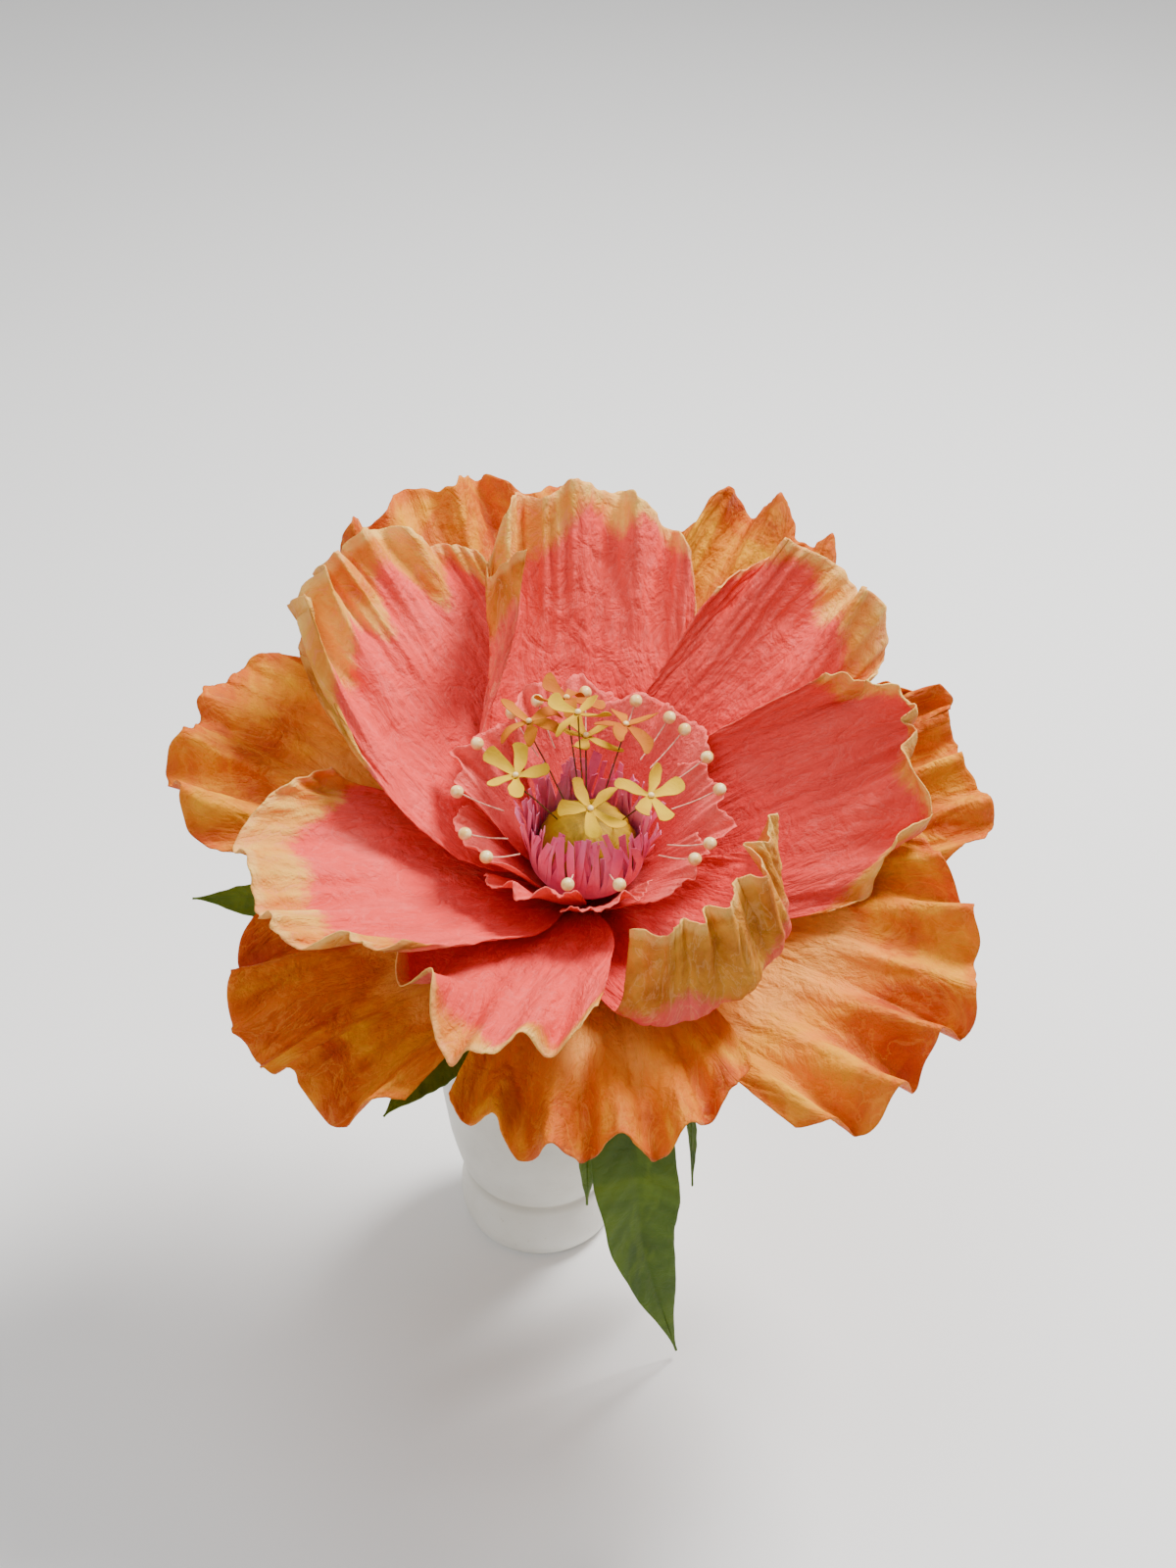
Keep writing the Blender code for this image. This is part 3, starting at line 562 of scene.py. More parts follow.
outerPetals = (
    {"azimuth": 163, "length": 0.153, "rise": (17, 18, 18, 12), "ccw": (30, 27, 26, 25),
     "cw": (30, 32, 28, 25), "ruffle": 9, "folds": 5, "frill": 24, "pleats": 11, "pleat": 0.0009,
     "dyeFrom": 0.72, "dyeLean": 0.06},
    {"azimuth": 112, "length": 0.164, "rise": (20, 27, 32, 26), "ccw": (30, 30, 28, 25),
     "cw": (30, 30, 28, 25), "ruffle": 10, "folds": 6, "frill": 16, "pleats": 13, "pleat": 0.0009,
     "dyeFrom": 0.66, "dyeLean": 0.0},
    {"azimuth": 60, "length": 0.162, "rise": (20, 27, 32, 26), "ccw": (30, 30, 22, 15),
     "cw": (30, 30, 22, 15), "cwLift": -10, "ruffle": 10, "folds": 4, "frill": 16, "pleats": 11,
     "pleat": 0.0010, "dyeFrom": 0.72, "dyeLean": 0.0},
    {"azimuth": 18, "length": 0.146, "rise": (17, 18, 20, 14), "ccw": (30, 28, 20, 12),
     "cw": (30, 28, 24, 20), "ccwLift": 6, "cwLift": -8, "ruffle": 7, "folds": 6, "frill": 24,
     "pleats": 13, "pleat": 0.0010, "dyeFrom": 0.68, "dyeLean": 0.0},
    {"azimuth": -28, "length": 0.142, "rise": (18, 13, 8, 2), "ccw": (30, 28, 28, 26),
     "cw": (30, 32, 32, 28), "ccwLift": 9, "ruffle": 9, "folds": 6, "frill": 34, "pleats": 12,
     "pleat": 0.0009, "dyeFrom": 0.74, "dyeLean": 0.05},
    {"azimuth": -86, "length": 0.114, "rise": (20, 16, 8, -10), "ccw": (30, 34, 32, 30),
     "cw": (30, 34, 32, 30), "ruffle": 11, "folds": 6, "frill": 34, "pleats": 12, "pleat": 0.0006,
     "dyeFrom": 0.86, "dyeLean": -0.08},
    {"azimuth": -147, "length": 0.132, "rise": (18, 9, 0, -12), "ccw": (30, 30, 28, 26),
     "cw": (30, 30, 28, 26), "ruffle": 13, "folds": 5, "frill": 36, "pleats": 12, "pleat": 0.0009,
     "dyeFrom": 0.60, "dyeLean": 0.0},
)


crinkleGrain = (75, 34)
folding = {"ruffleFrom": 0.35, "smallFrom": 0.55, "frillFrom": 0.88, "frillGain": 0.40, "rimCut": 0.55,
           "rimFine": 0.16, "pleatFrom": 0.45, "tipFrom": 0.93, "dyeOver": 0.16, "crinkle": 0.0016,
           "flapShare": 0.24}


def crinkle(across, along, seed):
    # sharp little folds that run mostly along the petal, about -0.5 to 0.5
    acrossGrain, alongGrain = crinkleGrain
    out = np.empty(across.size)
    for k, (a, b) in enumerate(zip(across.ravel(), along.ravel())):
        out[k] = noise.turbulence((a * acrossGrain, b * alongGrain, seed), 4, True)
    return (out - out.mean()).reshape(across.shape)


def petalShape(petal, ring, along, side, seed, outline, root):
    # along is 0 at the root and 1 at the rim, side is 1 on the counter-clockwise edge
    s = along[:, None] + 0 * side[None, :]
    v = side[None, :] + 0 * along[:, None]
    turnBack = np.zeros_like(s)
    if "flap" in petal:
        # a strip of one edge folded back over the petal
        foldAt, foldFrom, foldLift = petal["flap"]
        past = np.clip((v - foldAt) / (1 - foldAt), 0, 1)
        turnBack = foldLift * np.sqrt(past) * ease((s - foldFrom) / 0.2)
        back = 1 - past * folding["flapShare"] * ease((s - foldFrom) / 0.3)
        v = np.where(v > foldAt, back, v / foldAt)
    near = ease(2.5 * s)
    spread = np.where(v > 0, knots(petal["ccw"], s), knots(petal["cw"], s))
    turn = np.radians(petal["azimuth"] + spread * v)
    lift = near * (petal.get("ccwLift", 0) * np.clip(v, 0, 1) + petal.get("cwLift", 0) * np.clip(-v, 0, 1))
    slope = knots(petal["rise"], s) + ring["twist"] * v + ring["cup"] * v ** 2 * s + lift + turnBack
    if "frontLift" in ring:
        slope = slope + ring["frontLift"] * np.maximum(0, -np.sin(turn)) ** 1.5 * ease(2 * s)
    if "curl" in petal:
        curlAt, curlBy, curlOver = petal["curl"]
        slope = slope + curlBy * (1 - 0.55 * np.clip(v, 0, 1) ** 2) * ease((s - curlAt) / curlOver)
    for centre, wide, rollAt, rollBy, rollOver in petal.get("rolls", ()):
        window = np.clip(1 - ((v - centre) / wide) ** 2, 0, 1) ** 0.7
        slope = slope + rollBy * window * ease((s - rollAt) / rollOver)
    # broad folds that grow toward the rim, then a fine frill along the rim itself
    wobble = wander(v, seed, petal["folds"] * 1.6, petal["folds"] * 3.2)
    calm = 1 - 0.6 * np.abs(v) ** 4
    slope = slope + petal["ruffle"] * calm * ease((s - folding["ruffleFrom"]) / 0.65) * wobble * 1.6
    small = ease((s - folding["smallFrom"]) / 0.4) * wander(v, seed + 40, 16, 30)
    slope = slope + 0.5 * petal["ruffle"] * calm * small
    frill = folding["frillGain"] * wander(v, seed + 7, 18, 40, 5)
    slope = slope + petal["frill"] * ease((s - folding["frillFrom"]) / 0.12) * frill
    rimShape = 1 - ring["round"] * np.abs(v) ** 3 - petal.get("cwCut", 0) * np.clip(-v, 0, 1)
    rimShape = rimShape - petal.get("ccwCut", 0) * np.clip(v, 0, 1)
    rimShape = rimShape + outline * (wander(v, seed + 3, 5, 14) - folding["rimCut"])
    rimShape = rimShape + folding["rimFine"] * outline * wander(v, seed + 4, 30, 70)
    length = petal["length"] * rimShape
    angle = np.radians(slope)
    step = np.diff(along)[:, None]
    flat = np.zeros_like(s)
    high = np.zeros_like(s)
    flat[1:] = np.cumsum((np.cos(angle[1:]) + np.cos(angle[:-1])) / 2 * step, 0)
    high[1:] = np.cumsum((np.sin(angle[1:]) + np.sin(angle[:-1])) / 2 * step, 0)
    radius = root + length * flat
    height = ring["height"] + ring["step"] * v + length * high
    points = np.stack([radius * np.cos(turn), radius * np.sin(turn), height], -1)
    # pleats stand out square to the paper, and their valleys are noted for the colour as painted shade
    aheadOf = np.gradient(points, axis=0)
    acrossOf = np.gradient(points, axis=1)
    normal = np.cross(aheadOf, acrossOf)
    normal = normal / np.maximum(np.linalg.norm(normal, axis=-1, keepdims=True), 1e-12)
    phase = petal["pleats"] * np.pi * v + 1.6 * wander(v, seed + 11, 3, 8) + 0.8 * wander(s, seed + 12, 3, 9)
    ridge = 1 - 2 * np.abs(np.sin(phase / 2)) ** 0.8
    grow = ease((s - folding["pleatFrom"]) / 0.5) * (0.55 + 0.45 * wander(v, seed + 13, 4, 9))
    wrinkles = crinkle(v * petal["length"] * 0.6 * (0.35 + s), s * petal["length"], seed)
    bump = petal["pleat"] * ridge * grow + petal.get("crinkle", folding["crinkle"]) * wrinkles * ease(s * 3)
    points = points - normal * bump[..., None]
    # painted shade: the pleat valleys and the downturned parts of the broad folds, toward the rim
    foldShade = np.clip(0.5 - 0.5 * ridge, 0, 1) * np.clip(grow, 0, 1)
    foldShade = np.clip(foldShade * 0.7 + 0.5 * np.clip(-wobble, 0, 1) * ease((s - 0.5) / 0.5), 0, 1)
    dyeFrom = petal["dyeFrom"] + 0.06 * wander(v, seed + 30, 5, 15) - petal["dyeLean"] * v
    dye = np.clip(0.5 + (s - dyeFrom) / folding["dyeOver"], 0, 1)
    tip = ease((s - folding["tipFrom"]) / 0.07)
    return points, dye, tip, foldShade


def makePetal(name, petal, ring, build, seed, outline, materials, slot, node):
    deselectAll()
    bpy.ops.mesh.primitive_grid_add(x_subdivisions=build["columns"], y_subdivisions=build["rows"], size=2,
                                    calc_uvs=True, location=(0, 0, 0))
    obj = named(name)
    flat = np.empty(len(obj.data.vertices) * 3, dtype=np.float32)
    obj.data.vertices.foreach_get("co", flat)
    flat = flat.reshape(-1, 3)
    sides = np.unique(np.round(flat[:, 0], 5))
    alongs = np.unique(np.round(flat[:, 1], 5))
    column = np.searchsorted(sides, np.round(flat[:, 0], 5))
    row = np.searchsorted(alongs, np.round(flat[:, 1], 5))
    points, dye, tip, foldShade = petalShape(petal, ring, (alongs + 1) / 2, -sides, seed, outline, build["root"])
    turned = points @ np.array(headTurn.to_3x3()).T + np.array(headPlace)
    obj.data.vertices.foreach_set("co", turned[row, column].astype(np.float32).ravel())
    for key, values in (("dye", dye), ("tip", tip), ("foldShade", foldShade)):
        addAttribute(obj, key, values[row, column])
    obj.data.update()
    finishPiece(obj, materials, slot, node)
    useModifier(obj, "SOLIDIFY", thickness=build["paper"], offset=0.0, material_offset=len(materials) - 1,
                use_even_offset=False)
    smoothShade(obj)
    return obj


for number, petal in enumerate(outerPetals, 1):
    makePetal(f"outerPetal{number}", petal, outerRing, petalBuild, 100 + number, 0.035,
              (orangeFront, orangeBack), "orange_paper", f"outer_petal_{number}")
print("outer petals made")
for number, petal in enumerate(innerPetals, 1):
    makePetal(f"innerPetal{number}", petal, innerRing, petalBuild, 200 + number, 0.030,
              (coralFront, coralBack), "coral_paper", f"inner_petal_{number}")
print("inner petals made")


smallBuild = {"rows": 40, "columns": 96, "root": 0.009, "paper": 0.00040}
smallPetals = {"count": 8, "turn": 12.0, "backLonger": 0.26, "frontShorter": 0.04}
smallPetal = {"length": 0.055, "rise": (36, 47, 49, 41), "ccw": (34, 34, 29, 26), "cw": (34, 34, 29, 26),
              "ruffle": 7, "folds": 4, "frill": 16, "pleats": 15, "pleat": 0.00035, "crinkle": 0.0006,
              "dyeFrom": 0.86, "dyeLean": 0.0}

for number in range(1, smallPetals["count"] + 1):
    azimuth = smallPetals["turn"] + 360 * number / smallPetals["count"]
    towardBack = math.sin(math.radians(azimuth))
    longer = smallPetals["backLonger"] * max(towardBack, 0)
    longer -= smallPetals["frontShorter"] * max(-towardBack, 0)
    petal = dict(smallPetal, azimuth=azimuth, length=smallPetal["length"] * (1 + longer))
    makePetal(f"smallPetal{number}", petal, smallRing, smallBuild, 300 + number, 0.045,
              (salmonPaper, salmonPaper), "salmon_paper", f"small_petal_{number}")
print("small petals made")


podLook = {"radius": 0.0185, "height": 0.0258, "segments": 72, "rings": 40, "gathers": 22, "gather": 0.00035,
           "lump": 0.0003, "dimple": 0.0012, "shrink": 0.0004}


def makePod():
    deselectAll()
    bpy.ops.mesh.primitive_uv_sphere_add(segments=podLook["segments"], ring_count=podLook["rings"],
                                         radius=podLook["radius"], location=(0, 0, 0))
    pod = named("seedPod")
    for vert in pod.data.vertices:
        turn = math.atan2(vert.co.y, vert.co.x)
        level = vert.co.z / podLook["radius"]
        fade = math.sqrt(max(0.0, 1 - level * level))
        gather = podLook["gather"] * math.cos(podLook["gathers"] * turn + 2 * level) * fade
        lump = podLook["lump"] * math.sin(3 * turn + 1.3) * math.cos(4 * level)
        dimple = podLook["dimple"] * math.exp(-((1 - level) / 0.02))
        vert.co *= 1 + (gather + lump - podLook["shrink"]) / podLook["radius"]
        vert.co.z -= dimple
    placeMesh(pod, headMatrix @ Matrix.Translation((0, 0, podLook["height"])))
    smoothShade(pod)
    finishPiece(pod, (mustardPaper,), "mustard_paper", "pod")


makePod()


fringeLook = {"half": (0.0010, 0.0019), "reach": (0.62, 1.04), "fan": (0.10, 1.15), "sway": 0.0042,
              "twist": 42, "kink": (0.35, 0.85), "kinkBy": 0.0016, "paper": 0.00022, "band": 0.0020,
              "bandDrop": 0.0004}
fringes = (
    {"name": "fringeInner", "node": "fringe_inner", "root": (0.0190, 0.0228), "tip": (0.0215, 0.0480),
     "strips": 50, "seed": 5, "lean": 0.0080},
    {"name": "fringeOuter", "node": "fringe_outer", "root": (0.0206, 0.0256), "tip": (0.0262, 0.0500),
     "strips": 58, "seed": 9, "lean": 0.0090},
)


def makeFringe(fringe):
    dice = random.Random(fringe["seed"])
    rootRadius, rootHeight = fringe["root"]
    tipRadius, tipHeight = fringe["tip"]
    strips = []
    for k in range(fringe["strips"]):
        deselectAll()
        bpy.ops.mesh.primitive_grid_add(x_subdivisions=2, y_subdivisions=9, size=2, location=(0, 0, 0))
        strip = named(f"{fringe['name']}Strip")
        azimuth = 360 * (k + dice.uniform(-0.25, 0.25)) / fringe["strips"]
        half = dice.uniform(*fringeLook["half"])
        reach = dice.uniform(*fringeLook["reach"])
        fan = dice.uniform(*fringeLook["fan"])
        sway = dice.uniform(-fringeLook["sway"], fringeLook["sway"])
        twist = dice.uniform(-fringeLook["twist"], fringeLook["twist"])
        kink = dice.uniform(*fringeLook["kink"])
        kinkBy = dice.uniform(-fringeLook["kinkBy"], fringeLook["kinkBy"])
        front = max(0.0, -math.sin(math.radians(azimuth)))
        for vert in strip.data.vertices:
            across = vert.co.x
            along = (vert.co.y + 1) / 2
            turn = math.radians(azimuth + twist * along)
            wide = half * (1 - 0.15 * along) * (1 + 0.2 * math.sin(6 * along + k))
            radius = rootRadius + (tipRadius - rootRadius) * fan * along ** 1.3
            radius += kinkBy * max(0.0, along - kink) * 2.2
            radius -= fringe["lean"] * front * along ** 2.5
            height = rootHeight + (tipHeight - rootHeight) * reach * along
            if along > 0.98:
                height += 0.0006 * across * math.sin(k * 2.1)
            centre = polar(radius, azimuth, height) + polar(sway * along ** 1.5, azimuth + 90, 0)
            direction = Vector((-math.sin(turn), math.cos(turn), 0))
            vert.co = centre + direction * across * wide
        strips.append(strip)
    ring = joinAll(strips, fringe["name"])
    # the uncut band that the strips stand on
    deselectAll()
    bpy.ops.mesh.primitive_cylinder_add(vertices=96, radius=rootRadius, depth=fringeLook["band"],
                                        end_fill_type="NOTHING",
                                        location=(0, 0, rootHeight - fringeLook["bandDrop"]))
    band = named(f"{fringe['name']}Band")
    applyPlace(band)
    ring = joinAll([ring, band], fringe["name"])
    placeMesh(ring, headMatrix)
    useModifier(ring, "SOLIDIFY", thickness=fringeLook["paper"], offset=0.0)
    smoothShade(ring, 40)
    finishPiece(ring, (magentaPaper,), "magenta_paper", fringe["node"])


for fringe in fringes:
    makeFringe(fringe)
print("pod and fringe made")


stamens = {"azimuths": (149, 175, 198, 215, 259, 285, 327, 339, 9, 26, 43, 52, 69, 92, 114, 127),
           "bead": 0.0023, "ring": 0.0465, "height": 0.0516, "swing": 0.0065, "thread": 0.00028,
           "frontIn": 0.0080, "frontUp": 0.0110, "root": 0.0300, "rootIn": 0.0020, "climb": 0.0085,
           "tall": 1.06, "neck": 0.00025, "sag": 0.0008}


def makeThread(name, points, radius, resolution=2):
    # a smooth thin tube through the points
    deselectAll()
    bpy.ops.curve.primitive_bezier_curve_add(location=(0, 0, 0))
    thread = named(name)
    curve = thread.data
    curve.dimensions = "3D"
    curve.splines.clear()
    spline = curve.splines.new("BEZIER")
    spline.bezier_points.add(len(points) - 1)
    for mark, point in zip(spline.bezier_points, points):
        mark.co = point
        mark.handle_left_type = "AUTO"
        mark.handle_right_type = "AUTO"
    spline.resolution_u = 10
    curve.bevel_depth = radius
    curve.bevel_resolution = resolution
    curve.use_fill_caps = True
    pick(thread)
    bpy.ops.object.convert(target="MESH")
    return named(name)


def makeStamen(number, azimuth):
    front = max(0.0, -math.sin(math.radians(azimuth))) ** 1.5
    height = stamens["height"] + stamens["swing"] * math.sin(math.radians(azimuth))
    height += stamens["frontUp"] * front
    bead = polar(stamens["ring"] - stamens["frontIn"] * front, azimuth, height)
    root = polar(stamens["root"] - stamens["rootIn"] * front, azimuth, height - stamens["climb"])
    ahead = (bead - root).normalized()
    deselectAll()
    bpy.ops.mesh.primitive_uv_sphere_add(segments=28, ring_count=18, radius=stamens["bead"],
                                         location=(0, 0, 0))
    ball = named(f"beadHead{number:02d}")
    for vert in ball.data.vertices:
        level = vert.co.z / stamens["bead"]
        vert.co.z *= stamens["tall"]
        vert.co.z += stamens["neck"] * math.exp(-((level + 1) / 0.08))
    placeMesh(ball, Matrix.Translation(bead) @ ahead.to_track_quat("Z", "Y").to_matrix().to_4x4())
    middle = root.lerp(bead, 0.5) - Vector((0, 0, stamens["sag"]))
    thread = makeThread(f"stamenThread{number:02d}", (root, middle, bead), stamens["thread"])
    ball.data.materials.append(pearlBead)
    thread.data.materials.append(paleThread)
    whole = joinAll([ball, thread], f"stamen{number:02d}")
    placeMesh(whole, headMatrix)
    smoothShade(whole)
    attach(whole, "root")
    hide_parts(f"stamen_{number:02d}")


for number, azimuth in enumerate(stamens["azimuths"], 1):
    makeStamen(number, azimuth)
print("stamens made")


floretLook = {"reach": 0.0122, "wide": 0.0024, "paper": 0.00022, "pin": 0.00115, "pinUp": 0.0011,
              "pinFlat": 0.85, "wire": 0.00028, "bend": (-70, 60), "bendAt": (0.25, 0.6), "start": (-10, 22),
              "twist": 50, "sway": 0.0030, "cut": 0.35, "longer": (0.90, 1.22), "cup": 0.00045,
              "stack": 0.00010, "spots": 24}
florets = (
    {"centre": (-0.0257, 0.0050, 0.0600), "tilt": 14, "turn": 20, "petals": 5, "paper": yellowPaper},
    {"centre": (-0.0216, 0.0280, 0.0620), "tilt": 18, "turn": 50, "petals": 5, "paper": amberPaper},
    {"centre": (-0.0085, 0.0333, 0.0690), "tilt": 22, "turn": 10, "petals": 5, "paper": amberPaper},
    {"centre": (-0.0048, 0.0180, 0.0790), "tilt": 20, "turn": 35, "petals": 4, "paper": yellowPaper},
    {"centre": (-0.0013, 0.0250, 0.0585), "tilt": 18, "turn": 0, "petals": 5, "paper": yellowPaper},
    {"centre": (0.0122, 0.0233, 0.0670), "tilt": 24, "turn": 25, "petals": 5, "paper": amberPaper},
    {"centre": (0.0206, -0.0042, 0.0620), "tilt": 26, "turn": 15, "petals": 5, "paper": yellowPaper},
    {"centre": (0.0002, -0.0070, 0.0575), "tilt": 6, "turn": 40, "petals": 5, "paper": yellowPaper},
)


def makeFloret(number, floret):
    dice = random.Random(50 + number)
    blades = []
    for k in range(floret["petals"]):
        deselectAll()
        bpy.ops.mesh.primitive_grid_add(x_subdivisions=6, y_subdivisions=20, size=2, location=(0, 0, 0))
        blade = named(f"floretBlade{number}")
        azimuth = 360 * (k + dice.uniform(-0.16, 0.16)) / floret["petals"]
        bend = dice.uniform(*floretLook["bend"])
        bendAt = dice.uniform(*floretLook["bendAt"])
        start = dice.uniform(*floretLook["start"])
        twist = dice.uniform(-floretLook["twist"], floretLook["twist"])
        sway = dice.uniform(-floretLook["sway"], floretLook["sway"])
        cut = dice.uniform(-floretLook["cut"], floretLook["cut"])
        reach = floretLook["reach"] * dice.uniform(*floretLook["longer"])
        spots = floretLook["spots"]
        radius = [0.0003]
        height = [0.0]
        for spot in range(spots):
            slope = math.radians(start + bend * float(ease((spot / spots - bendAt) / 0.6)))
            radius.append(radius[-1] + reach / spots * math.cos(slope))
            height.append(height[-1] + reach / spots * math.sin(slope))
        for vert in blade.data.vertices:
            across = vert.co.x
            along = (vert.co.y + 1) / 2
            along *= 1 - 0.12 * max(0.0, cut * across) - 0.10 * abs(across) ** 3
            wide = floretLook["wide"] * (0.42 + 0.75 * float(ease(along / 0.7)))
            wide *= 1 - 0.10 * math.sin(9 * along + k)
            spot = min(int(along * spots), spots - 1)
            part = along * spots - spot
            out = radius[spot] + (radius[spot + 1] - radius[spot]) * part
            up = height[spot] + (height[spot + 1] - height[spot]) * part
            turn = math.radians(twist * along)
            raised = wide * across * math.sin(turn) + floretLook["cup"] * across * across
            sideways = sway * along ** 2 + wide * across * math.cos(turn)
            vert.co = polar(out, azimuth, up) + polar(sideways, azimuth + 90, 0)
            vert.co.z += raised + floretLook["stack"] * k
        blades.append(blade)
    blossom = joinAll(blades, f"floretBlossom{number}")
    useModifier(blossom, "SOLIDIFY", thickness=floretLook["paper"], offset=0.0)
    blossom.data.materials.append(floret["paper"])
    deselectAll()
    bpy.ops.mesh.primitive_uv_sphere_add(segments=16, ring_count=10, radius=floretLook["pin"],
                                         location=(0, 0, floretLook["pinUp"]))
    pin = named(f"floretPin{number}")
    applyPlace(pin)
    for vert in pin.data.vertices:
        vert.co.z = floretLook["pinUp"] + (vert.co.z - floretLook["pinUp"]) * floretLook["pinFlat"]
    pin.data.materials.append(pearlBead)
    centre = Vector(floret["centre"])
    outward = Vector((centre.x, centre.y, 0)).normalized()
    facing = Vector((0, 0, 1)).lerp(outward, floret["tilt"] / 90.0).normalized()
    pose = Matrix.Translation(centre) @ facing.to_track_quat("Z", "Y").to_matrix().to_4x4()
    pose = pose @ Matrix.Rotation(math.radians(floret["turn"]), 4, "Z")
    placeMesh(blossom, pose)
    placeMesh(pin, pose)
    podTop = Vector((0, 0, podLook["height"]))
    foot = podTop + (centre - podTop).normalized() * (podLook["radius"] - 0.0012)
    below = pose @ Vector((0, 0, -0.004))
    wirePath = (foot, foot.lerp(below, 0.55), below, pose @ Vector((0, 0, 0)))
    wire = makeThread(f"floretWire{number}", wirePath, floretLook["wire"])
    wire.data.materials.append(darkWire)
    whole = joinAll([blossom, pin, wire], f"floret{number}")
    placeMesh(whole, headMatrix)
    smoothShade(whole, 60)
    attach(whole, "root")
    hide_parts(f"floret_{number}")


for number, floret in enumerate(florets, 1):
    makeFloret(number, floret)
print("florets made")


leafBuild = {"rows": 72, "columns": 24, "paper": 0.0005, "veins": 17, "vein": 0.00035, "fold": 0.18,
             "wave": 0.0009, "rib": 0.0005, "tip": 0.14}
leaves = (
    {"path": ((0.0195, -0.0245, 0.172), (0.030, -0.060, 0.152), (0.038, -0.080, 0.108),
              (0.042, -0.083, 0.066), (0.056, -0.082, 0.004)), "half": 0.0165, "across": (1, 0.25, 0)},
    {"path": ((0.0160, -0.0240, 0.170), (0.018, -0.048, 0.138), (0.020, -0.056, 0.092),
              (0.020, -0.050, 0.055)), "half": 0.0040, "across": (1, 0, 0)},
    {"path": ((0.0215, -0.0170, 0.171), (0.044, -0.022, 0.150), (0.060, -0.028, 0.104),
              (0.063, -0.032, 0.046)), "half": 0.0070, "across": (0.5, -1, 0)},
    {"path": ((0.0092, -0.0135, 0.174), (-0.045, -0.004, 0.176), (-0.092, 0.002, 0.172),
              (-0.132, 0.000, 0.174)), "half": 0.0130, "across": (0.1, 1, 0.2)},
    {"path": ((0.0120, -0.0215, 0.171), (-0.016, -0.046, 0.162), (-0.036, -0.066, 0.153),
              (-0.054, -0.084, 0.142)), "half": 0.0120, "across": (-1, 0.9, 0)},
)


def makeLeaf(number, leaf):
    deselectAll()
    bpy.ops.mesh.primitive_grid_add(x_subdivisions=leafBuild["columns"], y_subdivisions=leafBuild["rows"],
                                    size=2, calc_uvs=True, location=(0, 0, 0))
    blade = named(f"leaf{number}")
    path = np.array(leaf["path"])
    hint = Vector(leaf["across"]).normalized()

    def middle(place):
        return Vector([float(knots(path[:, i], np.array(place))) for i in range(3)])

    for vert in blade.data.vertices:
        across = vert.co.x
        along = (vert.co.y + 1) / 2
        centre = middle(along)
        ahead = (middle(min(along + 0.02, 1)) - middle(max(along - 0.02, 0))).normalized()
        sideways = (hint - ahead * hint.dot(ahead)).normalized()
        faceOut = sideways.cross(ahead)
        body = 0.12 + 0.88 * math.sin(math.pi * min(along * 1.02, 1.0) ** 0.85) ** 0.8
        wide = leaf["half"] * body * min(1.0, (1 - along) / leafBuild["tip"]) ** 0.7
        wide = max(wide, 0.0003)
        edge = wide * (1 + 0.035 * math.sin(31 * along + 2 * across))
        fold = leafBuild["fold"] * wide * abs(across)
        vein = leafBuild["vein"] * math.cos((along - abs(across) * 0.10) * leafBuild["veins"] * 2 * math.pi)
        vein *= min(1.0, 3 * abs(across)) * min(1.0, wide / 0.008)
        wave = leafBuild["wave"] * math.sin(14 * along + 1.5) * across ** 2
        rib = leafBuild["rib"] * math.exp(-(across / 0.09) ** 2)
        vert.co = centre + sideways * edge * across + faceOut * (vein + wave + rib - fold)
    blade.data.update()
    useModifier(blade, "SOLIDIFY", thickness=leafBuild["paper"], offset=0.0)
    smoothShade(blade)
    finishPiece(blade, (greenPaper,), "green_paper", f"leaf_{number}")


for number, leaf in enumerate(leaves, 1):
    makeLeaf(number, leaf)
print("leaves made")


stemLook = {"radius": 0.0031, "neck": -0.0226, "below": -0.0276,
            "path": ((0.0080, -0.0060, 0.0370), (0.0076, -0.0050, 0.088), (0.0082, -0.0052, 0.138),
                     (0.0090, -0.0064, 0.155), (0.0126, -0.0112, 0.168))}
calyxLook = {
    "profile": ((0.0, -0.0069), (0.0130, -0.0069), (0.0142, -0.0079), (0.0126, -0.0104), (0.0110, -0.0119),
                (0.0080, -0.0150), (0.0062, -0.0179), (0.0053, -0.0205), (0.0048, -0.0229), (0.0, -0.0229)),
    "steps": 64, "wrinkle": 0.03, "wrinkles": 11, "lean": 240}


def spinProfile(name, profile, steps):
    # one point is drawn out along the profile, then the line is spun about Z and its poles merged
    deselectAll()
    bpy.ops.mesh.primitive_plane_add(size=0.001, location=(0, 0, 0))
    obj = named(name)
    bpy.ops.object.mode_set(mode="EDIT")
    bpy.ops.mesh.merge(type="CENTER")
    bpy.ops.transform.translate(value=(profile[0][0], 0, profile[0][1]))
    for start, end in zip(profile, profile[1:]):
        step = (end[0] - start[0], 0, end[1] - start[1])
        bpy.ops.mesh.extrude_region_move(TRANSFORM_OT_translate={"value": step})
    bpy.ops.mesh.select_all(action="SELECT")
    bpy.ops.mesh.spin(steps=steps, angle=2 * math.pi, center=(0, 0, 0), axis=(0, 0, 1))
    bpy.ops.mesh.select_all(action="SELECT")
    bpy.ops.mesh.remove_doubles(threshold=0.00001)
    bpy.ops.mesh.normals_make_consistent(inside=False)
    bpy.ops.object.mode_set(mode="OBJECT")
    return obj


def makeStem():
    neck = headMatrix @ Vector((0, 0, stemLook["neck"]))
    below = headMatrix @ Vector((0, 0, stemLook["below"]))
    points = [Vector(point) for point in stemLook["path"]] + [below, neck]
    stem = makeThread("stemTube", points, stemLook["radius"], 8)
    smoothShade(stem, 50)
    finishPiece(stem, (stemTape,), "green_paper", "stem")


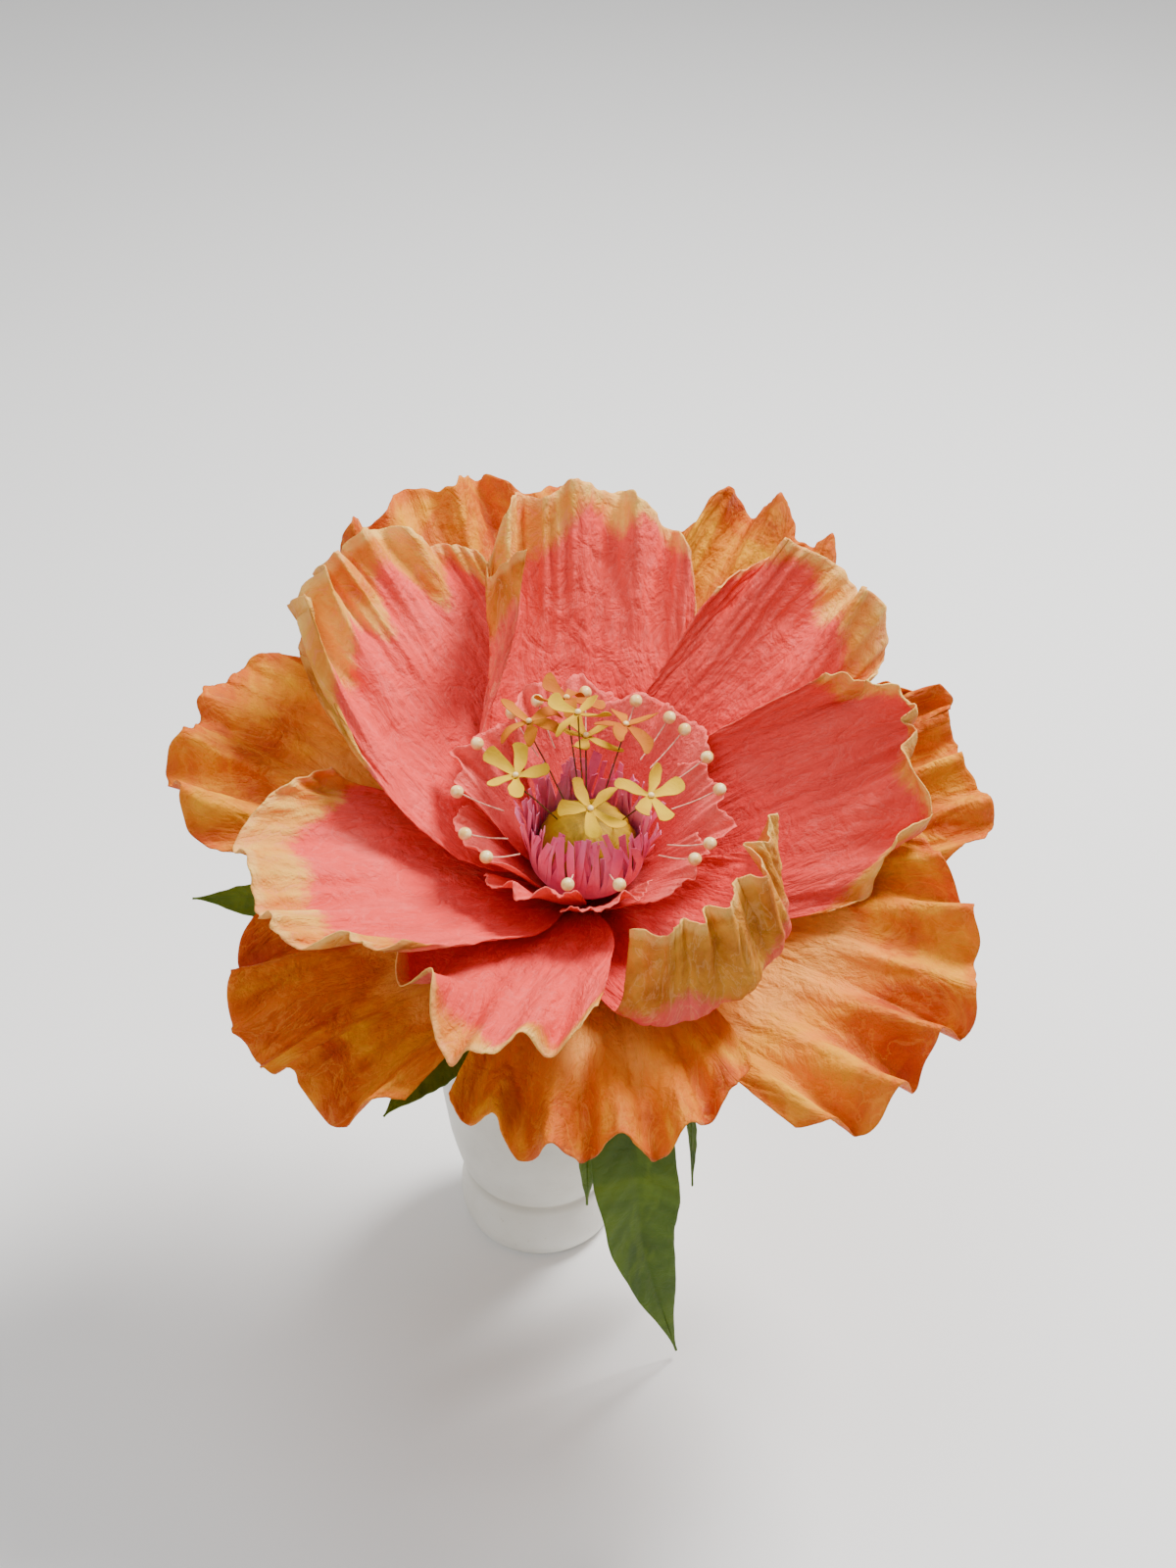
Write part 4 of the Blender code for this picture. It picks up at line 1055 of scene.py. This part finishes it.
def makeCalyx():
    # the paper cone is spun from its profile and given tape wrinkles
    calyx = spinProfile("calyxCone", calyxLook["profile"], calyxLook["steps"])
    for vert in calyx.data.vertices:
        turn = math.atan2(vert.co.y, vert.co.x)
        wave = math.sin(calyxLook["wrinkles"] * turn + calyxLook["lean"] * vert.co.z)
        grow = 1 - calyxLook["wrinkle"] * (0.5 + 0.5 * wave)
        vert.co.x *= grow
        vert.co.y *= grow
    placeMesh(calyx, headMatrix)
    smoothShade(calyx, 40)
    finishPiece(calyx, (stemTape,), "green_paper", "calyx")


makeStem()
makeCalyx()
core = bpy.data.objects["core"]
core.data.materials.clear()
core.data.materials.append(stemTape)


vaseLook = {
    "outer": ((0.0, 0.0), (0.027, 0.0), (0.0292, 0.0007), (0.031, 0.0025), (0.0325, 0.006), (0.0335, 0.010),
              (0.0338, 0.015), (0.0335, 0.020), (0.0328, 0.0245), (0.0315, 0.028), (0.0307, 0.0292),
              (0.0305, 0.030), (0.0310, 0.0315), (0.0325, 0.034), (0.0345, 0.041), (0.036, 0.048),
              (0.0375, 0.056), (0.0385, 0.065), (0.0396, 0.075), (0.040, 0.085), (0.0395, 0.095),
              (0.038, 0.105), (0.0346, 0.116), (0.030, 0.125), (0.0256, 0.133), (0.022, 0.140),
              (0.0199, 0.1450), (0.019, 0.150), (0.0190, 0.154), (0.020, 0.158), (0.0217, 0.162),
              (0.024, 0.1662), (0.0237, 0.1670)),
    "inner": ((0.0228, 0.1671), (0.0210, 0.1640), (0.0170, 0.158), (0.0157, 0.154), (0.0155, 0.150),
              (0.0165, 0.1450), (0.0185, 0.140), (0.0265, 0.125), (0.0345, 0.105), (0.0365, 0.085),
              (0.0350, 0.065), (0.0325, 0.050), (0.0270, 0.040), (0.0160, 0.036), (0.0, 0.036)),
}


def makeVase():
    vase = spinProfile("turnedVase", vaseLook["outer"] + vaseLook["inner"], 112)
    smoothShade(vase, 45)
    finishPiece(vase, (whiteClay,), "white_ceramic", "vase")


makeVase()
print("stem and vase made")


def makeStage():
    deselectAll()
    bpy.ops.mesh.primitive_plane_add(size=6.0, location=(0, 0, 0))
    floor = named("studioFloor")
    pick(floor)
    material = bpy.data.materials.new("studioFloor")
    material.use_nodes = True
    shader = material.node_tree.nodes["Principled BSDF"]
    shader.inputs["Base Color"].default_value = (0.93, 0.93, 0.925, 1)
    shader.inputs["Roughness"].default_value = 0.9
    floor.data.materials.append(material)


def addLight(name, place, aim, size, power, colour=(1, 1, 1)):
    deselectAll()
    bpy.ops.object.light_add(type="AREA", location=place)
    light = bpy.context.active_object
    light.name = name
    light.data.shape = "DISK"
    light.data.size = size
    light.data.energy = power
    light.data.color = colour
    light.rotation_euler = (Vector(aim) - Vector(place)).to_track_quat("-Z", "Y").to_euler()


def makeWorld():
    world = bpy.data.worlds.new("studioWorld")
    world.use_nodes = True
    sky = world.node_tree.nodes["Background"]
    sky.inputs["Color"].default_value = (1.0, 1.0, 1.0, 1)
    sky.inputs["Strength"].default_value = 0.36
    bpy.context.scene.world = world


makeStage()
makeWorld()
addLight("keyLight", (0.62, 0.42, 1.35), (0.0, 0.0, 0.22), 0.50, 40.0, (1.0, 0.985, 0.965))
addLight("fillLight", (-0.70, -0.95, 1.00), (0.0, 0.0, 0.2), 1.1, 6.0, (0.98, 0.99, 1.0))
addLight("topLight", (-0.30, 0.10, 1.50), (0.0, 0.0, 0.2), 0.9, 7.0)

cameraLook = {"place": (0.0204, -0.6339, 0.7253), "down": 38.0, "lens": 50.0}
deselectAll()
bpy.ops.object.camera_add(location=cameraLook["place"],
                          rotation=(math.radians(90 - cameraLook["down"]), 0, 0))
camera = bpy.context.active_object
camera.data.lens = cameraLook["lens"]
camera.data.sensor_width = 36.0
camera.data.clip_start = 0.01
bpy.context.scene.camera = camera
